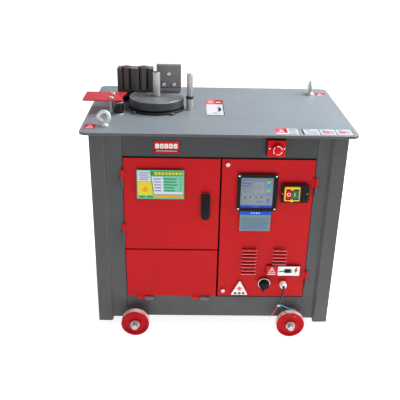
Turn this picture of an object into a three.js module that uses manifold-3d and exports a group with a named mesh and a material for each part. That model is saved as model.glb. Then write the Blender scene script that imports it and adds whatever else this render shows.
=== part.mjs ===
// Rebar bender: a steel bench cabinet on four wheels, with a driven bending disk on its table.
// Millimetres, +X right, +Y to the rear, +Z up. The origin is on the floor, under the middle of the
// whole machine. All lengths below are measured from the middle of the table, which is set over to
// the right by OVERHANG so that the gauge plate's overhang on the left is balanced.

import * as THREE from "three";
import { mergeVertices } from "three/addons/utils/BufferGeometryUtils.js";
import Module from "manifold-3d";

const wasm = await Module();
wasm.setup();

// ---------------------------------------------------------------- driving dimensions
const GAP = 0.3; // between pieces that touch
const SEAM = 1; // open joint between a rail and the posts
const OVERHANG = 6.5;
const TABLE = { width: 930, depth: 600, thick: 10, top: 800, corner: 25, spindleHole: 66 };
const UNDER_TABLE = TABLE.top - TABLE.thick - GAP;
const SHEET = 3; // frame sheet
const SKIN = 2; // doors and panels

const POST = { side: 436, end: 272, face: 388, bevel: 10, flange: 212, foot: 36 };
const FRAME = { face: 262, leftStile: 328, rightStile: 337, rearStile: 333, rebate: 246, stileFoot: 48 };
const RAIL = { topLow: 702.5, bottomLow: 55, bottomTop: 142.5, flange: 16 };

const DOOR = { face: 265, depth: 18 };
const UPPER_DOOR = { x: [-325.5, 7.5], z: [349, 700] };
const LOWER_FLAP = { x: [-325.5, 7], z: [144.5, 342] };
const CONTROL_DOOR = { x: [14, 334], z: [148, 700] };
const HINGE = { radius: 5.5, pin: 3, bore: 3.5, pinLength: 22, x: [-330, 342], y: -269 };
const FLAP_HINGE = { y: -268.5, z: 139 };

const WHEEL = { radius: 53, width: 30, x: [-295, 290], middle: 303, sides: 24, axle: 11, axleEnd: 340 };
WHEEL.height = WHEEL.radius * Math.cos(Math.PI / WHEEL.sides); // a facet lies on the floor

const SPINDLE = { x: -222, y: -4 };
const DISK = { radius: 100, low: 814, top: 845, bore: 12.5 };
const BEARING = { bore: 34, tube: 60, flange: 103, bolts: 109 };
const WORM = { y: 92.5, z: 650, radius: 20, wheel: 75 };
const MOTOR = { z: 190, radius: 78, x: [-330, -120], shaft: 12 };
const PULLEY = { x: -59, width: 26, groove: 17, driven: 70, driver: 42, deep: 9 };
const BELT = { clearance: 1.2, thick: 10, width: 15 };

const FENCE = { face: 43, back: 88, low: 848, combTop: 933, rollerTop: 938.5, plateTop: 948.5, plateBack: 65 };
const EYE = { ring: 17.8, wire: 6.9, height: 32 };

// ---------------------------------------------------------------- finishes
const FINISH = {
  table: { color: 0x84898c, roughness: 0.5, metalness: 0.3 },
  frame: { color: 0x4a4b4c, roughness: 0.55, metalness: 0.2 },
  red: { color: 0xc0232a, roughness: 0.4, metalness: 0.1 },
  castIron: { color: 0x3a3c3e, roughness: 0.6, metalness: 0.6 },
  forged: { color: 0x4a4342, roughness: 0.65, metalness: 0.6 },
  steel: { color: 0xb8b6b2, roughness: 0.3, metalness: 0.9 },
  chrome: { color: 0xe4e6e8, roughness: 0.15, metalness: 1.0 },
  black: { color: 0x1a1b1d, roughness: 0.45, metalness: 0.0 },
  green: { color: 0x1f8a4c, roughness: 0.4, metalness: 0.0 },
  white: { color: 0xe8e8e4, roughness: 0.45, metalness: 0.0 },
  blue: { color: 0x3c8fc4, roughness: 0.5, metalness: 0.0 },
  rubber: { color: 0x222222, roughness: 0.8, metalness: 0.0 },
  bronze: { color: 0xa86a3c, roughness: 0.4, metalness: 0.8 },
};

// ---------------------------------------------------------------- shape helpers
function solid(geometry) {
  const bare = geometry.clone();
  bare.deleteAttribute("normal");
  bare.deleteAttribute("uv");
  const merged = mergeVertices(bare, 1e-3);
  const vertProperties = new Float32Array(merged.attributes.position.array);
  const triVerts = new Uint32Array(merged.index.array);
  return new wasm.Manifold(new wasm.Mesh({ numProp: 3, vertProperties, triVerts }));
}

function surface(body) {
  const { vertProperties, triVerts } = body.getMesh();
  const geometry = new THREE.BufferGeometry();
  geometry.setAttribute("position", new THREE.BufferAttribute(vertProperties, 3));
  geometry.setIndex(new THREE.BufferAttribute(triVerts, 1));
  geometry.computeVertexNormals();
  return geometry;
}

const join = (first, ...rest) => surface(rest.reduce((body, g) => body.add(solid(g)), solid(first)));
const cut = (first, ...rest) => surface(rest.reduce((body, g) => body.subtract(solid(g)), solid(first)));

const range = (count) => [...Array(count).keys()];
const grow = ([low, high], by) => [low - by, high + by];
const middle = ([low, high]) => (low + high) / 2;

// A box from its extent along each axis; each extent may be given in either order.
function slab(x, y, z) {
  const size = [x, y, z].map(([a, b]) => Math.abs(b - a));
  return new THREE.BoxGeometry(...size).translate(middle(x), middle(y), middle(z));
}

// A round bar along +Z, from one height to another.
function rod(radius, [low, high], sides = 16) {
  return new THREE.CylinderGeometry(radius, radius, high - low, sides)
    .rotateX(Math.PI / 2)
    .translate(0, 0, (low + high) / 2);
}

const alongX = (geometry) => geometry.rotateY(Math.PI / 2); // +Z becomes +X
const alongY = (geometry) => geometry.rotateX(-Math.PI / 2); // +Z becomes +Y

// A turned shape about +Z from [radius, height] points, lowest first on the outside.
function turned(profile, sides = 20) {
  const points = profile.map(([radius, height]) => new THREE.Vector2(radius, height));
  return new THREE.LatheGeometry(points, sides).rotateX(Math.PI / 2);
}

function outline(points) {
  return new THREE.Shape(points.map(([x, y]) => new THREE.Vector2(x, y)));
}

// A flat outline in X and Y, raised from one height to another.
function plate(shape, [low, high], curveSegments = 6) {
  const options = { depth: high - low, bevelEnabled: false, curveSegments };
  return new THREE.ExtrudeGeometry(shape, options).translate(0, 0, low);
}

function roundedRectangle(width, depth, corner) {
  const [x, y] = [width / 2, depth / 2];
  const shape = new THREE.Shape();
  shape.moveTo(x - corner, -y);
  shape.absarc(x - corner, -y + corner, corner, -Math.PI / 2, 0, false);
  shape.absarc(x - corner, y - corner, corner, 0, Math.PI / 2, false);
  shape.absarc(-x + corner, y - corner, corner, Math.PI / 2, Math.PI, false);
  shape.absarc(-x + corner, -y + corner, corner, Math.PI, 1.5 * Math.PI, false);
  return shape;
}

// A slot-ended outline: flat top, half-round bottom, its top edge's middle at the origin.
function tongue(width, length) {
  const half = width / 2;
  const shape = new THREE.Shape();
  shape.moveTo(half, 0);
  shape.lineTo(-half, 0);
  shape.lineTo(-half, half - length);
  shape.absarc(0, half - length, half, Math.PI, 2 * Math.PI, false);
  return shape;
}

// A flat outline drawn as seen from the front, standing upright and as thick as [front, back] says.
function upright(shape, [front, back], curveSegments = 6) {
  return plate(shape, [-back, -front], curveSegments).rotateX(Math.PI / 2);
}

function piece(parent, name, finish, geometry, place = [0, 0, 0]) {
  const mesh = new THREE.Mesh(geometry, new THREE.MeshStandardMaterial(FINISH[finish]));
  mesh.name = name;
  mesh.position.set(...place);
  parent.add(mesh);
  return mesh;
}

function group(parent, place = [0, 0, 0]) {
  const made = new THREE.Group();
  made.position.set(...place);
  parent.add(made);
  return made;
}

const machine = new THREE.Group();
machine.position.x = OVERHANG;

// ---------------------------------------------------------------- hinges
// Lift-off hinge, knuckles along +Z, parted at the origin. `side` is +1 where the door lies toward +X.
// The frame half is the lower one and carries the pin.
function hingeFrameHalf(length, side) {
  const barrel = rod(HINGE.radius, [-length, 0], 12);
  const pin = rod(HINGE.pin, [-1, HINGE.pinLength], 12);
  const leaf = slab([-13 * side, -1 * side], [3, 8], [2 - length, -2]);
  return join(barrel, pin, leaf);
}

function hingeDoorHalf(length, side) {
  const barrel = rod(HINGE.radius, [GAP, length], 12);
  const leaf = slab([side, 15 * side], [1, 5], [2, length - 2]);
  const bore = rod(HINGE.bore, [GAP - 1, HINGE.pinLength + 2], 12);
  return cut(join(barrel, leaf), bore);
}

// The same hinge lying down: knuckles along -X, door above the frame.
const lyingDown = (geometry) => geometry.rotateY(-Math.PI / 2);

const UPPER_HINGES = [{ z: 418, low: 35, high: 31 }, { z: 627, low: 36, high: 30 }];
const CONTROL_HINGES = [{ z: 228, low: 34, high: 33 }, { z: 601, low: 30, high: 32 }];
const FLAP_HINGES = [{ x: -259, frame: 32, door: 29 }, { x: -52, frame: 35, door: 29 }];

const postHinges = (hinges, x, side) =>
  hinges.map(({ z, low }) => hingeFrameHalf(low, side).translate(x, HINGE.y, z));
const doorHinges = (hinges, x, side) =>
  hinges.map(({ z, high }) => hingeDoorHalf(high, side).translate(x, HINGE.y, z));

// ---------------------------------------------------------------- cabinet
function tableTop() {
  const top = plate(roundedRectangle(TABLE.width, TABLE.depth, TABLE.corner), [0, TABLE.thick]);
  const spindleHole = rod(TABLE.spindleHole, [-1, TABLE.thick + 1], 24).translate(SPINDLE.x, SPINDLE.y, 0);
  const sparePinHole = rod(9.6, [-1, TABLE.thick + 1]).translate(-100, -26, 0);
  return cut(top, spindleHole, sparePinHole);
}

// One corner column folded from sheet: side flange, end face, bevel, stile and door rebate.
// `side` and `end` are -1 or +1 and say which corner it stands at.
function cornerPost(side, end, stile, hinges = []) {
  const run = SHEET * Math.tan(Math.PI / 8);
  const outer = [
    [POST.side, POST.flange],
    [POST.side, POST.end],
    [POST.face, POST.end],
    [POST.face - POST.bevel, FRAME.face],
    [stile, FRAME.face],
    [stile, FRAME.rebate],
  ];
  const inner = [
    [stile + SHEET, FRAME.rebate],
    [stile + SHEET, FRAME.face - SHEET],
    [POST.face - POST.bevel + run, FRAME.face - SHEET],
    [POST.face + run, POST.end - SHEET],
    [POST.side - SHEET, POST.end - SHEET],
    [POST.side - SHEET, POST.flange],
  ];
  const path = [...outer, ...inner].map(([x, y]) => [x * side, y * end]);
  const sheet = plate(outline(path), [POST.foot, UNDER_TABLE]);
  const stileEnd = [(POST.face - 6) * side, (stile - 5) * side];
  const trim = slab(stileEnd, [240 * end, 280 * end], [POST.foot - 5, FRAME.stileFoot]);
  return join(cut(sheet, trim), ...hinges);
}

// A rail of the door frame: a face sheet with a flange turned inward along its door side.
function frontRail([x0, x1], [z0, z1], flangeAtTop) {
  const face = slab([x0, x1], [-FRAME.face, SHEET - FRAME.face], [z0, z1]);
  const flangeZ = flangeAtTop ? [z1 - SHEET, z1] : [z0, z0 + SHEET];
  const flange = slab([x0, x1], [-FRAME.face + 1, RAIL.flange - FRAME.face], flangeZ);
  return join(face, flange);
}

function bottomRail(x) {
  const rail = frontRail(x, [RAIL.bottomLow, RAIL.bottomTop], true);
  const hinges = FLAP_HINGES.map(({ x: at, frame }) =>
    lyingDown(hingeFrameHalf(frame, 1)).translate(at, FLAP_HINGE.y, FLAP_HINGE.z),
  );
  const notches = WHEEL.x.map((at) =>
    alongY(rod(WHEEL.axle + 3, [-10, 10])).translate(at, -FRAME.face, WHEEL.height),
  );
  return cut(join(rail, ...hinges), ...notches);
}

// The post between the doors, with the bar that the upper door and the flap close on.
function doorMullion() {
  const post = slab([-4, 26], [-244.5, -216], [RAIL.bottomTop + GAP, UNDER_TABLE]);
  const bar = slab([-327, -3], [-244.5, -226], [332, 359]);
  return join(post, bar);
}

// A panel with its four edges turned inward; `deep` is the depth of the turned edges.
function sidePanel(side) {
  const [out, back] = [POST.side, POST.side - 16];
  const [y, z] = [[-POST.flange + GAP, POST.flange - GAP], [FRAME.stileFoot, UNDER_TABLE]];
  const inside = slab([(out - SKIN) * side, (back - 5) * side], grow(y, -SKIN), grow(z, -SKIN));
  return cut(slab([out * side, back * side], y, z), inside);
}

function rearPanel() {
  const edge = FRAME.rearStile - GAP;
  const sheet = slab([-edge, edge], [FRAME.face - SKIN, FRAME.face], [68, UNDER_TABLE]);
  const slots = [-170, 170].flatMap((x) =>
    range(8).map((row) => slab([x - 45, x + 45], [255, 270], [560 + 18 * row, 564 + 18 * row])),
  );
  return cut(sheet, ...slots);
}

// Floor sheet with the four hangers that carry the wheel axles.
function floorPan() {
  const corner = [[326, 257], [326, 209], [430, 209]];
  const quarter = (sx, sy) => corner.map(([x, y]) => [x * sx, y * sy]);
  const path = [
    ...quarter(-1, -1).reverse(),
    ...quarter(1, -1),
    ...quarter(1, 1).reverse(),
    ...quarter(-1, 1),
  ];
  const sheet = plate(outline(path), [78, 81]);
  const corners = WHEEL.x.flatMap((x) => [-244, 244].map((y) => [x, y]));
  const hangers = corners.map(([x, y]) => slab([x - 30, x + 30], [y - 6, y + 6], [36, 79]));
  const holes = corners.map(([x, y]) =>
    alongY(rod(WHEEL.axle + 0.6, [-8, 8])).translate(x, y, WHEEL.height),
  );
  return cut(join(sheet, ...hangers), ...holes);
}

function buildCabinet() {
  const cabinet = group(machine);
  piece(cabinet, "table_top", "table", tableTop(), [0, 0, TABLE.top - TABLE.thick]);
  const leftHinges = postHinges(UPPER_HINGES, HINGE.x[0], 1);
  const rightHinges = postHinges(CONTROL_HINGES, HINGE.x[1], -1);
  piece(cabinet, "front_left_post", "frame", cornerPost(-1, -1, FRAME.leftStile, leftHinges));
  piece(cabinet, "front_right_post", "frame", cornerPost(1, -1, FRAME.rightStile, rightHinges));
  piece(cabinet, "rear_left_post", "frame", cornerPost(-1, 1, FRAME.rearStile));
  piece(cabinet, "rear_right_post", "frame", cornerPost(1, 1, FRAME.rearStile));
  const span = [SEAM - FRAME.leftStile, FRAME.rightStile - SEAM];
  piece(cabinet, "front_top_rail", "frame", frontRail(span, [RAIL.topLow, UNDER_TABLE], false));
  piece(cabinet, "front_bottom_rail", "frame", bottomRail(span));
  piece(cabinet, "door_mullion", "frame", doorMullion());
  piece(cabinet, "left_side_panel", "frame", sidePanel(-1));
  piece(cabinet, "right_side_panel", "frame", sidePanel(1));
  piece(cabinet, "rear_panel", "frame", rearPanel());
  piece(cabinet, "floor_pan", "frame", floorPan());
  piece(cabinet, "partition", "frame", slab([10, 12], [-209, 256], [82, UNDER_TABLE]));
}

// ---------------------------------------------------------------- running gear
// An axle runs from front to rear under the floor and carries a wheel at each end.
function axle() {
  const { axle: r, middle: at, width } = WHEEL;
  const [inner, outer] = [at - width / 2 - 0.5, at + width / 2 + 0.5];
  const collars = [-1, 1].flatMap((end) => [
    rod(17, end < 0 ? [-outer - 6, -outer] : [outer, outer + 6], 8),
    rod(16, end < 0 ? [-inner, 5 - inner] : [inner - 5, inner], 8),
  ]);
  return alongY(join(rod(r, [-WHEEL.axleEnd, WHEEL.axleEnd], 12), ...collars));
}

// Wheel about +Y with its recessed web toward -Y.
function wheel() {
  const half = WHEEL.width / 2;
  const profile = [
    [WHEEL.axle + 0.5, -half],
    [WHEEL.radius - 2, -half],
    [WHEEL.radius, 2 - half],
    [WHEEL.radius, half],
    [44, half],
    [41, half - 6],
    [20, half - 6],
    [18, half],
    [WHEEL.axle + 0.5, half],
    [WHEEL.axle + 0.5, -half],
  ];
  return turned(profile, WHEEL.sides).rotateX(Math.PI / 2).rotateY(Math.PI / WHEEL.sides);
}

function buildRunningGear() {
  const gear = group(machine, [0, 0, WHEEL.height]);
  WHEEL.x.forEach((x, i) => {
    const label = ["left", "right"][i];
    piece(gear, label + "_axle", "steel", axle(), [x, 0, 0]);
    for (const [end, place] of [[-1, "front"], [1, "rear"]]) {
      const at = [x, end * WHEEL.middle, 0];
      const mesh = piece(gear, place + "_" + label + "_wheel", "red", wheel(), at);
      mesh.rotation.z = end > 0 ? Math.PI : 0;
    }
  });
}

// ---------------------------------------------------------------- drive under the table
function bearingHousing() {
  const { bore, tube, flange, bolts: circle } = BEARING;
  const seat = TABLE.top + GAP;
  const profile = [
    [bore, 764],
    [tube, 764],
    [tube, seat],
    [flange, seat],
    [flange, 808],
    [flange - 12, 811.5],
    [bore, 811.5],
    [bore, 764],
  ];
  const bolts = [-135.4, -57, 44.6, 123].map((degrees) => {
    const angle = THREE.MathUtils.degToRad(degrees);
    return rod(9, [seat, 808.5], 6).translate(circle * Math.cos(angle), circle * Math.sin(angle), 0);
  });
  return join(turned(profile), ...bolts);
}

// Worm box hung under the table on four feet; bored for the output shaft and the worm shaft.
function gearboxHousing() {
  const [x, y, z, wall] = [[-110, 110], [-100, 140], [600, 760], 12];
  const feet = [-98, 98].flatMap((fx) =>
    [-88, 128].map((fy) => slab([fx - 12, fx + 12], [fy - 12, fy + 12], [758, UNDER_TABLE])),
  );
  const shaftBore = alongX(rod(MOTOR.shaft + 1.5, [90, 120])).translate(0, WORM.y - SPINDLE.y, WORM.z);
  return cut(
    join(slab(x, y, z), ...feet),
    slab(grow(x, -wall), grow(y, -wall), grow(z, -wall)),
    rod(40, [740, 770]),
    shaftBore,
  );
}

function grooved(radius, bore) {
  const { width, groove, deep } = PULLEY;
  const [w, g] = [width / 2, groove / 2];
  const rim = [
    [radius, -w],
    [radius, -g],
    [radius - deep, -g],
    [radius - deep, g],
    [radius, g],
    [radius, w],
  ];
  return bore ? [[bore, -w], ...rim, [bore, w], [bore, -w]] : [[0, -w], ...rim, [0, w]];
}

// Belt loop round the two pulleys, standing in Y and Z, driver at the origin and driven above it.
function beltLoop() {
  const gap = WORM.z - MOTOR.z;
  const loop = (extra) => {
    const small = PULLEY.driver - PULLEY.deep + extra;
    const large = PULLEY.driven - PULLEY.deep + extra;
    const lean = Math.asin((large - small) / gap);
    const path = new THREE.Path();
    path.absarc(0, 0, small, Math.PI - lean, lean, false);
    path.absarc(0, gap, large, lean, Math.PI - lean, false);
    return path.getPoints(9);
  };
  const shape = new THREE.Shape(loop(BELT.clearance + BELT.thick));
  shape.holes.push(new THREE.Path(loop(BELT.clearance)));
  return plate(shape, [-BELT.width / 2, BELT.width / 2]).rotateX(Math.PI / 2).rotateZ(Math.PI / 2);
}

function motorBody() {
  const [x0, x1] = MOTOR.x;
  const body = alongX(rod(MOTOR.radius, [x0, x1])).translate(0, 0, MOTOR.z);
  const feet = [-52, 52].map((y) => slab([x0 + 30, x1 - 30], [y - 16, y + 16], [81.5, MOTOR.z - 20]));
  const top = MOTOR.z + MOTOR.radius;
  const terminalBox = slab([x0 + 60, x0 + 140], [-38, 38], [top - 12, top + 34]);
  const bore = alongX(rod(MOTOR.shaft + 0.6, [x1 - 40, x1 + 5])).translate(0, 0, MOTOR.z);
  return cut(join(body, ...feet, terminalBox), bore);
}

function motorPulley() {
  const shaft = alongX(rod(MOTOR.shaft, [MOTOR.x[1] - 38 - PULLEY.x, 0]));
  return join(alongX(turned(grooved(PULLEY.driver))), shaft);
}

function buildDrive() {
  const { x, y } = SPINDLE;
  const spindle = group(machine, [x, y, 0]);
  piece(spindle, "bearing_housing", "castIron", bearingHousing());
  piece(spindle, "gearbox_housing", "castIron", gearboxHousing());
  piece(spindle, "output_shaft", "steel", rod(28, [616, DISK.low - GAP]));
  const wheelProfile = [[28.6, 634], [WORM.wheel, 634], [WORM.wheel, 666], [28.6, 666], [28.6, 634]];
  piece(spindle, "worm_wheel", "bronze", turned(wheelProfile, 24));

  const wormLine = group(machine, [0, WORM.y, WORM.z]);
  const wormShaft = alongX(
    join(rod(MOTOR.shaft, [x - 90, PULLEY.x + 16]), rod(WORM.radius, [x - 75, x + 75])),
  );
  piece(wormLine, "worm_shaft", "steel", wormShaft);
  const driven = alongX(turned(grooved(PULLEY.driven, MOTOR.shaft + 0.4)));
  piece(wormLine, "driven_pulley", "castIron", driven, [PULLEY.x, 0, 0]);

  const motorLine = group(machine, [0, WORM.y, 0]);
  piece(motorLine, "motor", "frame", motorBody());
  piece(motorLine, "motor_pulley", "castIron", motorPulley(), [PULLEY.x, 0, MOTOR.z]);
  piece(motorLine, "drive_belt", "rubber", beltLoop(), [PULLEY.x, 0, MOTOR.z]);
}

// ---------------------------------------------------------------- bending head
function turntable() {
  const { radius: r, low, top, bore } = DISK;
  const profile = [
    [0, low],
    [r - 2, low],
    [r, low + 2],
    [r, top - 2],
    [r - 2, top],
    [bore, top],
    [bore, top - 26],
    [0, top - 26],
  ];
  return turned(profile, 40);
}

function mandrelPin() {
  const { top, bore } = DISK;
  const low = top + GAP;
  return turned(
    [
      [0, top - 24],
      [bore - 0.6, top - 24],
      [bore - 0.6, low],
      [13.3, low],
      [13.3, 933],
      [11.8, 935],
      [0, 935],
    ],
    16,
  );
}

// Shouldered pin standing in a socket in the table.
function sparePin() {
  const seat = TABLE.top + GAP;
  return turned(
    [
      [0, TABLE.top - 9],
      [9, TABLE.top - 9],
      [9, seat],
      [12, seat],
      [12, 843],
      [13.8, 843],
      [13.8, 851.6],
      [10.75, 851.6],
      [10.75, 931.5],
      [9.25, 933],
      [0, 933],
    ],
    20,
  );
}

const ROLLERS = [
  { name: "left_fence_roller", x: -335.5, radius: 15, head: 19.5, y: 59 },
  { name: "right_fence_roller", x: -272, radius: 16.4, head: 20, y: 60.5 },
];

// Fence carrier: comb of three blocks that hold the rollers, and the bracket behind the face plate.
// It stands on a foot behind and beside the disk and reaches out over it.
function fenceBody() {
  const { face, back, low, combTop, plateTop, plateBack } = FENCE;
  const comb = [[-369, -351.3], [-319.8, -289.2], [-254.8, -237]].map((x) =>
    slab(x, [face, back], [low, combTop]),
  );
  const pins = ROLLERS.map(({ x, y }) => rod(5, [low, combTop - 10], 12).translate(x, y, 0));
  const parts = [
    slab([-369, -237], [face, back], [low, low + 5]),
    slab([-369, -237], [back - 10, back], [low, combTop]),
    slab([-372, -141], [66, 150], [TABLE.top + GAP, low + 1]),
    slab([-369, -141], [104, 116], [low, low + 47]),
    slab([-218, -141], [plateBack + GAP, 110], [low, plateTop - 14]),
    slab([-369, -345], [back - 2, 106], [low, low + 47]),
  ];
  const clearances = [
    rod(DISK.radius + 3, [DISK.low - 2, low - 0.5], 36),
    rod(BEARING.bolts + 11, [TABLE.top - 5, DISK.low - 1], 36),
  ].map((round) => round.translate(SPINDLE.x, SPINDLE.y, 0));
  return cut(join(...parts, ...comb, ...pins), ...clearances);
}

// Roller with a wider head that rests over the comb.
function fenceRoller({ radius, head }) {
  const [low, seat, top, bore] = [FENCE.low + 5 + GAP, FENCE.combTop + 0.5, FENCE.rollerTop, 5.5];
  const profile = [
    [bore, low],
    [radius, low],
    [radius, seat],
    [head, seat],
    [head, top - 2.5],
    [head - 2.5, top],
    [0, top],
    [0, seat - 5],
    [bore, seat - 5],
    [bore, low],
  ];
  return turned(profile, 20);
}

// Face plate with a lip along its foot and three bolt heads.
function fencePlate() {
  const { face, low, plateTop, plateBack } = FENCE;
  const bolts = [[-178, 915], [-197, 875], [-159, 876]].map(([x, z]) =>
    alongY(rod(6.5, [face - 4, face + 1], 12)).translate(x, 0, z),
  );
  const lip = slab([-224, -133], [face - 3, face + 1], [low, low + 13]);
  return join(slab([-224, -133], [face, plateBack], [low, plateTop]), lip, ...bolts);
}

// Gauge plate with a V-notch toward the disk, held on two studs.
const GAUGE = { low: 849, top: 855, studs: [[-380, -16], [-380, -72]], pillar: [-354, -86] };

function gaugePlate() {
  const shape = outline([[-478, -101], [-334, -101], [-345, -52], [-331, 5], [-478, 5]]);
  const holes = GAUGE.studs.map(([x, y]) => rod(5.6, [GAUGE.low - 1, GAUGE.top + 1], 16).translate(x, y, 0));
  return cut(plate(shape, [GAUGE.low, GAUGE.top]), ...holes);
}

function gaugeStud() {
  const { low, top } = GAUGE;
  return turned(
    [
      [0, TABLE.top + GAP],
      [9, TABLE.top + GAP],
      [9, TABLE.top + 7],
      [5, TABLE.top + 7],
      [5, top + GAP],
      [10, top + GAP],
      [8, top + 2.5],
      [0, top + 2.5],
    ],
    12,
  );
}

function gaugePillar() {
  const seat = TABLE.top + GAP;
  return turned([[0, seat], [18, seat], [19, seat + 1], [19, 843], [17, 845], [0, 845]]);
}

// Lifting eye about +Z: a collar on the table and a ring whose hole looks along Y.
function eyeBolt() {
  const ring = new THREE.TorusGeometry(EYE.ring, EYE.wire, 6, 16).rotateX(Math.PI / 2);
  const collar = rod(15, [GAP, 9], 12);
  return join(ring.translate(0, 0, EYE.height), collar);
}

function buildBendingHead() {
  const spindle = group(machine, [SPINDLE.x, SPINDLE.y, 0]);
  piece(spindle, "turntable", "castIron", turntable());
  piece(spindle, "mandrel_pin", "steel", mandrelPin());
  piece(machine, "spare_pin", "steel", sparePin(), [-100, -26, 0]);
  piece(machine, "fence_body", "forged", fenceBody());
  piece(machine, "fence_plate", "forged", fencePlate());
  for (const roller of ROLLERS)
    piece(machine, roller.name, "forged", fenceRoller(roller), [roller.x, roller.y, 0]);
  piece(machine, "gauge_plate", "red", gaugePlate());
  GAUGE.studs.forEach(([x, y], i) =>
    piece(machine, ["rear", "front"][i] + "_gauge_stud", "chrome", gaugeStud(), [x, y, 0]),
  );
  piece(machine, "gauge_pillar", "black", gaugePillar(), [...GAUGE.pillar, 0]);
  piece(machine, "front_eye_bolt", "chrome", eyeBolt(), [-387, -228, TABLE.top]);
  const rearEye = piece(machine, "rear_eye_bolt", "chrome", eyeBolt(), [385.5, 210, TABLE.top]);
  rearEye.rotation.z = Math.PI / 2;
}

// ---------------------------------------------------------------- doors
const CONTROLLER = { x: [68, 208.5], z: [510, 650] };
const SWITCH = {
  x: [220, 318],
  z: [546, 615],
  frame: { x: [231.5, 286], z: [553.5, 607] },
  pocket: { x: [236.5, 283.5], z: [558, 599.5] },
  button: { width: 20, height: 33, z: 578.5, stop: 247.5, start: 268.3 },
};
const KNOB = { x: 185, z: 209.5 };
const GLAND = { x: 255.5, z: 209 };
const LOUVRE = { left: [97.5, 149.5], right: [211.5, 259.5], low: 251, pitch: 14.2, slot: 4 };
const LATCH = { x: -40.5, top: 573.5, width: 31, length: 101 };

function doorPan(x, z) {
  const [front, back] = [-DOOR.face, DOOR.depth - DOOR.face];
  const inside = slab(grow(x, -SKIN), [front + SKIN, back + 5], grow(z, -SKIN));
  return cut(slab(x, [front, back], z), inside);
}

// Slots of one louvre field, from the given row up to the eighth.
function louvres(x, lowestRow) {
  const rows = range(8).slice(lowestRow);
  return rows.map((row) => {
    const low = LOUVRE.low + LOUVRE.pitch * row;
    return slab(x, [-280, -255], [low, low + LOUVRE.slot]);
  });
}

function controlDoor() {
  const through = [-280, -255];
  const hole = (radius, { x, z }) => alongY(rod(radius, through)).translate(x, 0, z);
  const openings = [
    slab(grow(CONTROLLER.x, -5), through, grow(CONTROLLER.z, -5)),
    slab(grow(SWITCH.frame.x, 1), through, grow(SWITCH.frame.z, 1)),
    hole(6, KNOB),
    ...louvres(LOUVRE.left, 0),
    ...louvres(LOUVRE.right, 3),
  ];
  const pan = cut(doorPan(CONTROL_DOOR.x, CONTROL_DOOR.z), ...openings);
  return join(pan, ...doorHinges(CONTROL_HINGES, HINGE.x[1], -1));
}

function lowerFlap() {
  const hinges = FLAP_HINGES.map(({ x, door }) =>
    lyingDown(hingeDoorHalf(door, 1)).translate(x, FLAP_HINGE.y, FLAP_HINGE.z),
  );
  return join(doorPan(LOWER_FLAP.x, LOWER_FLAP.z), ...hinges);
}

const face = -DOOR.face - GAP; // front of whatever is screwed to a door starts here

function latchPlate() {
  const base = upright(tongue(LATCH.width, LATCH.length), [face - 2.5, face]);
  const lockBody = slab([-LATCH.width / 2, LATCH.width / 2], [-274, face], [-18, 0]);
  return join(base, lockBody);
}

// ---------------------------------------------------------------- controls
function controllerBody() {
  const [w, h] = [CONTROLLER.x[1] - CONTROLLER.x[0], CONTROLLER.z[1] - CONTROLLER.z[0]];
  const bezel = upright(roundedRectangle(w, h, 7), [face - 8, face], 3);
  return join(bezel, slab([-w / 2 + 7, w / 2 - 7], [face - 1, -218], [-h / 2 + 7, h / 2 - 7]));
}

function switchHousing() {
  const { x, z, frame, pocket } = SWITCH;
  const shell = [
    slab(x, [-279, face], z),
    slab(frame.x, [-284, -278], frame.z),
    slab(grow(frame.x, -3), [-270, -235], grow(frame.z, -3)),
  ];
  return cut(join(...shell), slab(pocket.x, [-290, -268], pocket.z));
}

function knob() {
  const grip = plate(
    outline([[-5, 0], [5, 0], [2.5, -25], [-2.5, -25]]),
    [8, 22],
  );
  const dial = turned([[0, 0], [20, 0], [20, 4], [18, 6], [17, 22], [0, 22]], 20);
  const spindle = rod(4.5, [-14, 1], 12);
  return join(dial, grip, spindle).rotateX(Math.PI / 2);
}

function emergencyButton() {
  const profile = [[0, -12], [8, -12], [8, 6], [19, 6], [19, 12], [14.5, 16], [0, 18]];
  return turned(profile).rotateX(Math.PI / 2);
}

function cableGland() {
  const profile = [[0, 0], [13.5, 0], [13.5, 12], [10, 16], [9, 24], [0, 24.5]];
  return turned(profile, 16).rotateX(Math.PI / 2);
}

// ---------------------------------------------------------------- cord
// The supply cord drops from the gland; its jacket ends early and three bare cores fan out.
const JACKET = { radius: 3.75, bend: 30, slant: 0.33 };
const CORD_EXIT = [255.5, -290.7, 209];
const JACKET_END = [238.5, -313, 143];

function cordRoute() {
  const [x, y, z] = CORD_EXIT;
  const bend = range(5).map((i) => {
    const angle = (i * Math.PI) / 8;
    const drop = JACKET.bend * (1 - Math.cos(angle));
    return [x - JACKET.slant * drop, y - JACKET.bend * Math.sin(angle), z - drop];
  });
  return [...bend, [243.3, -320.3, 167], [240.8, -317.4, 154.5], JACKET_END];
}

const CORE_RADIUS = 1.3;
const CORES = {
  red_core: [
    [237.2, -313, 140.6],
    [233, -313.3, 127],
    [227, -313.4, 113],
    [220.5, -313, 101],
    [214, -312, 90],
  ],
  blue_core: [
    [242.2, -311, 141],
    [254, -306.5, 134],
    [268, -301.5, 124],
    [285, -297, 114],
    [301, -295, 108.8],
  ],
  green_core: [
    [239.6, -316.4, 138.8],
    [249, -320, 128],
    [261, -322.4, 118],
    [277, -323.4, 108],
    [297, -323.4, 98],
  ],
};

function cable(points, radius, steps) {
  const section = new THREE.Shape(
    range(8).map((i) => {
      const angle = (i * Math.PI) / 4;
      return new THREE.Vector2(radius * Math.cos(angle), radius * Math.sin(angle));
    }),
  );
  const path = new THREE.CatmullRomCurve3(points.map((p) => new THREE.Vector3(...p)));
  return new THREE.ExtrudeGeometry(section, { steps, bevelEnabled: false, extrudePath: path });
}

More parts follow.
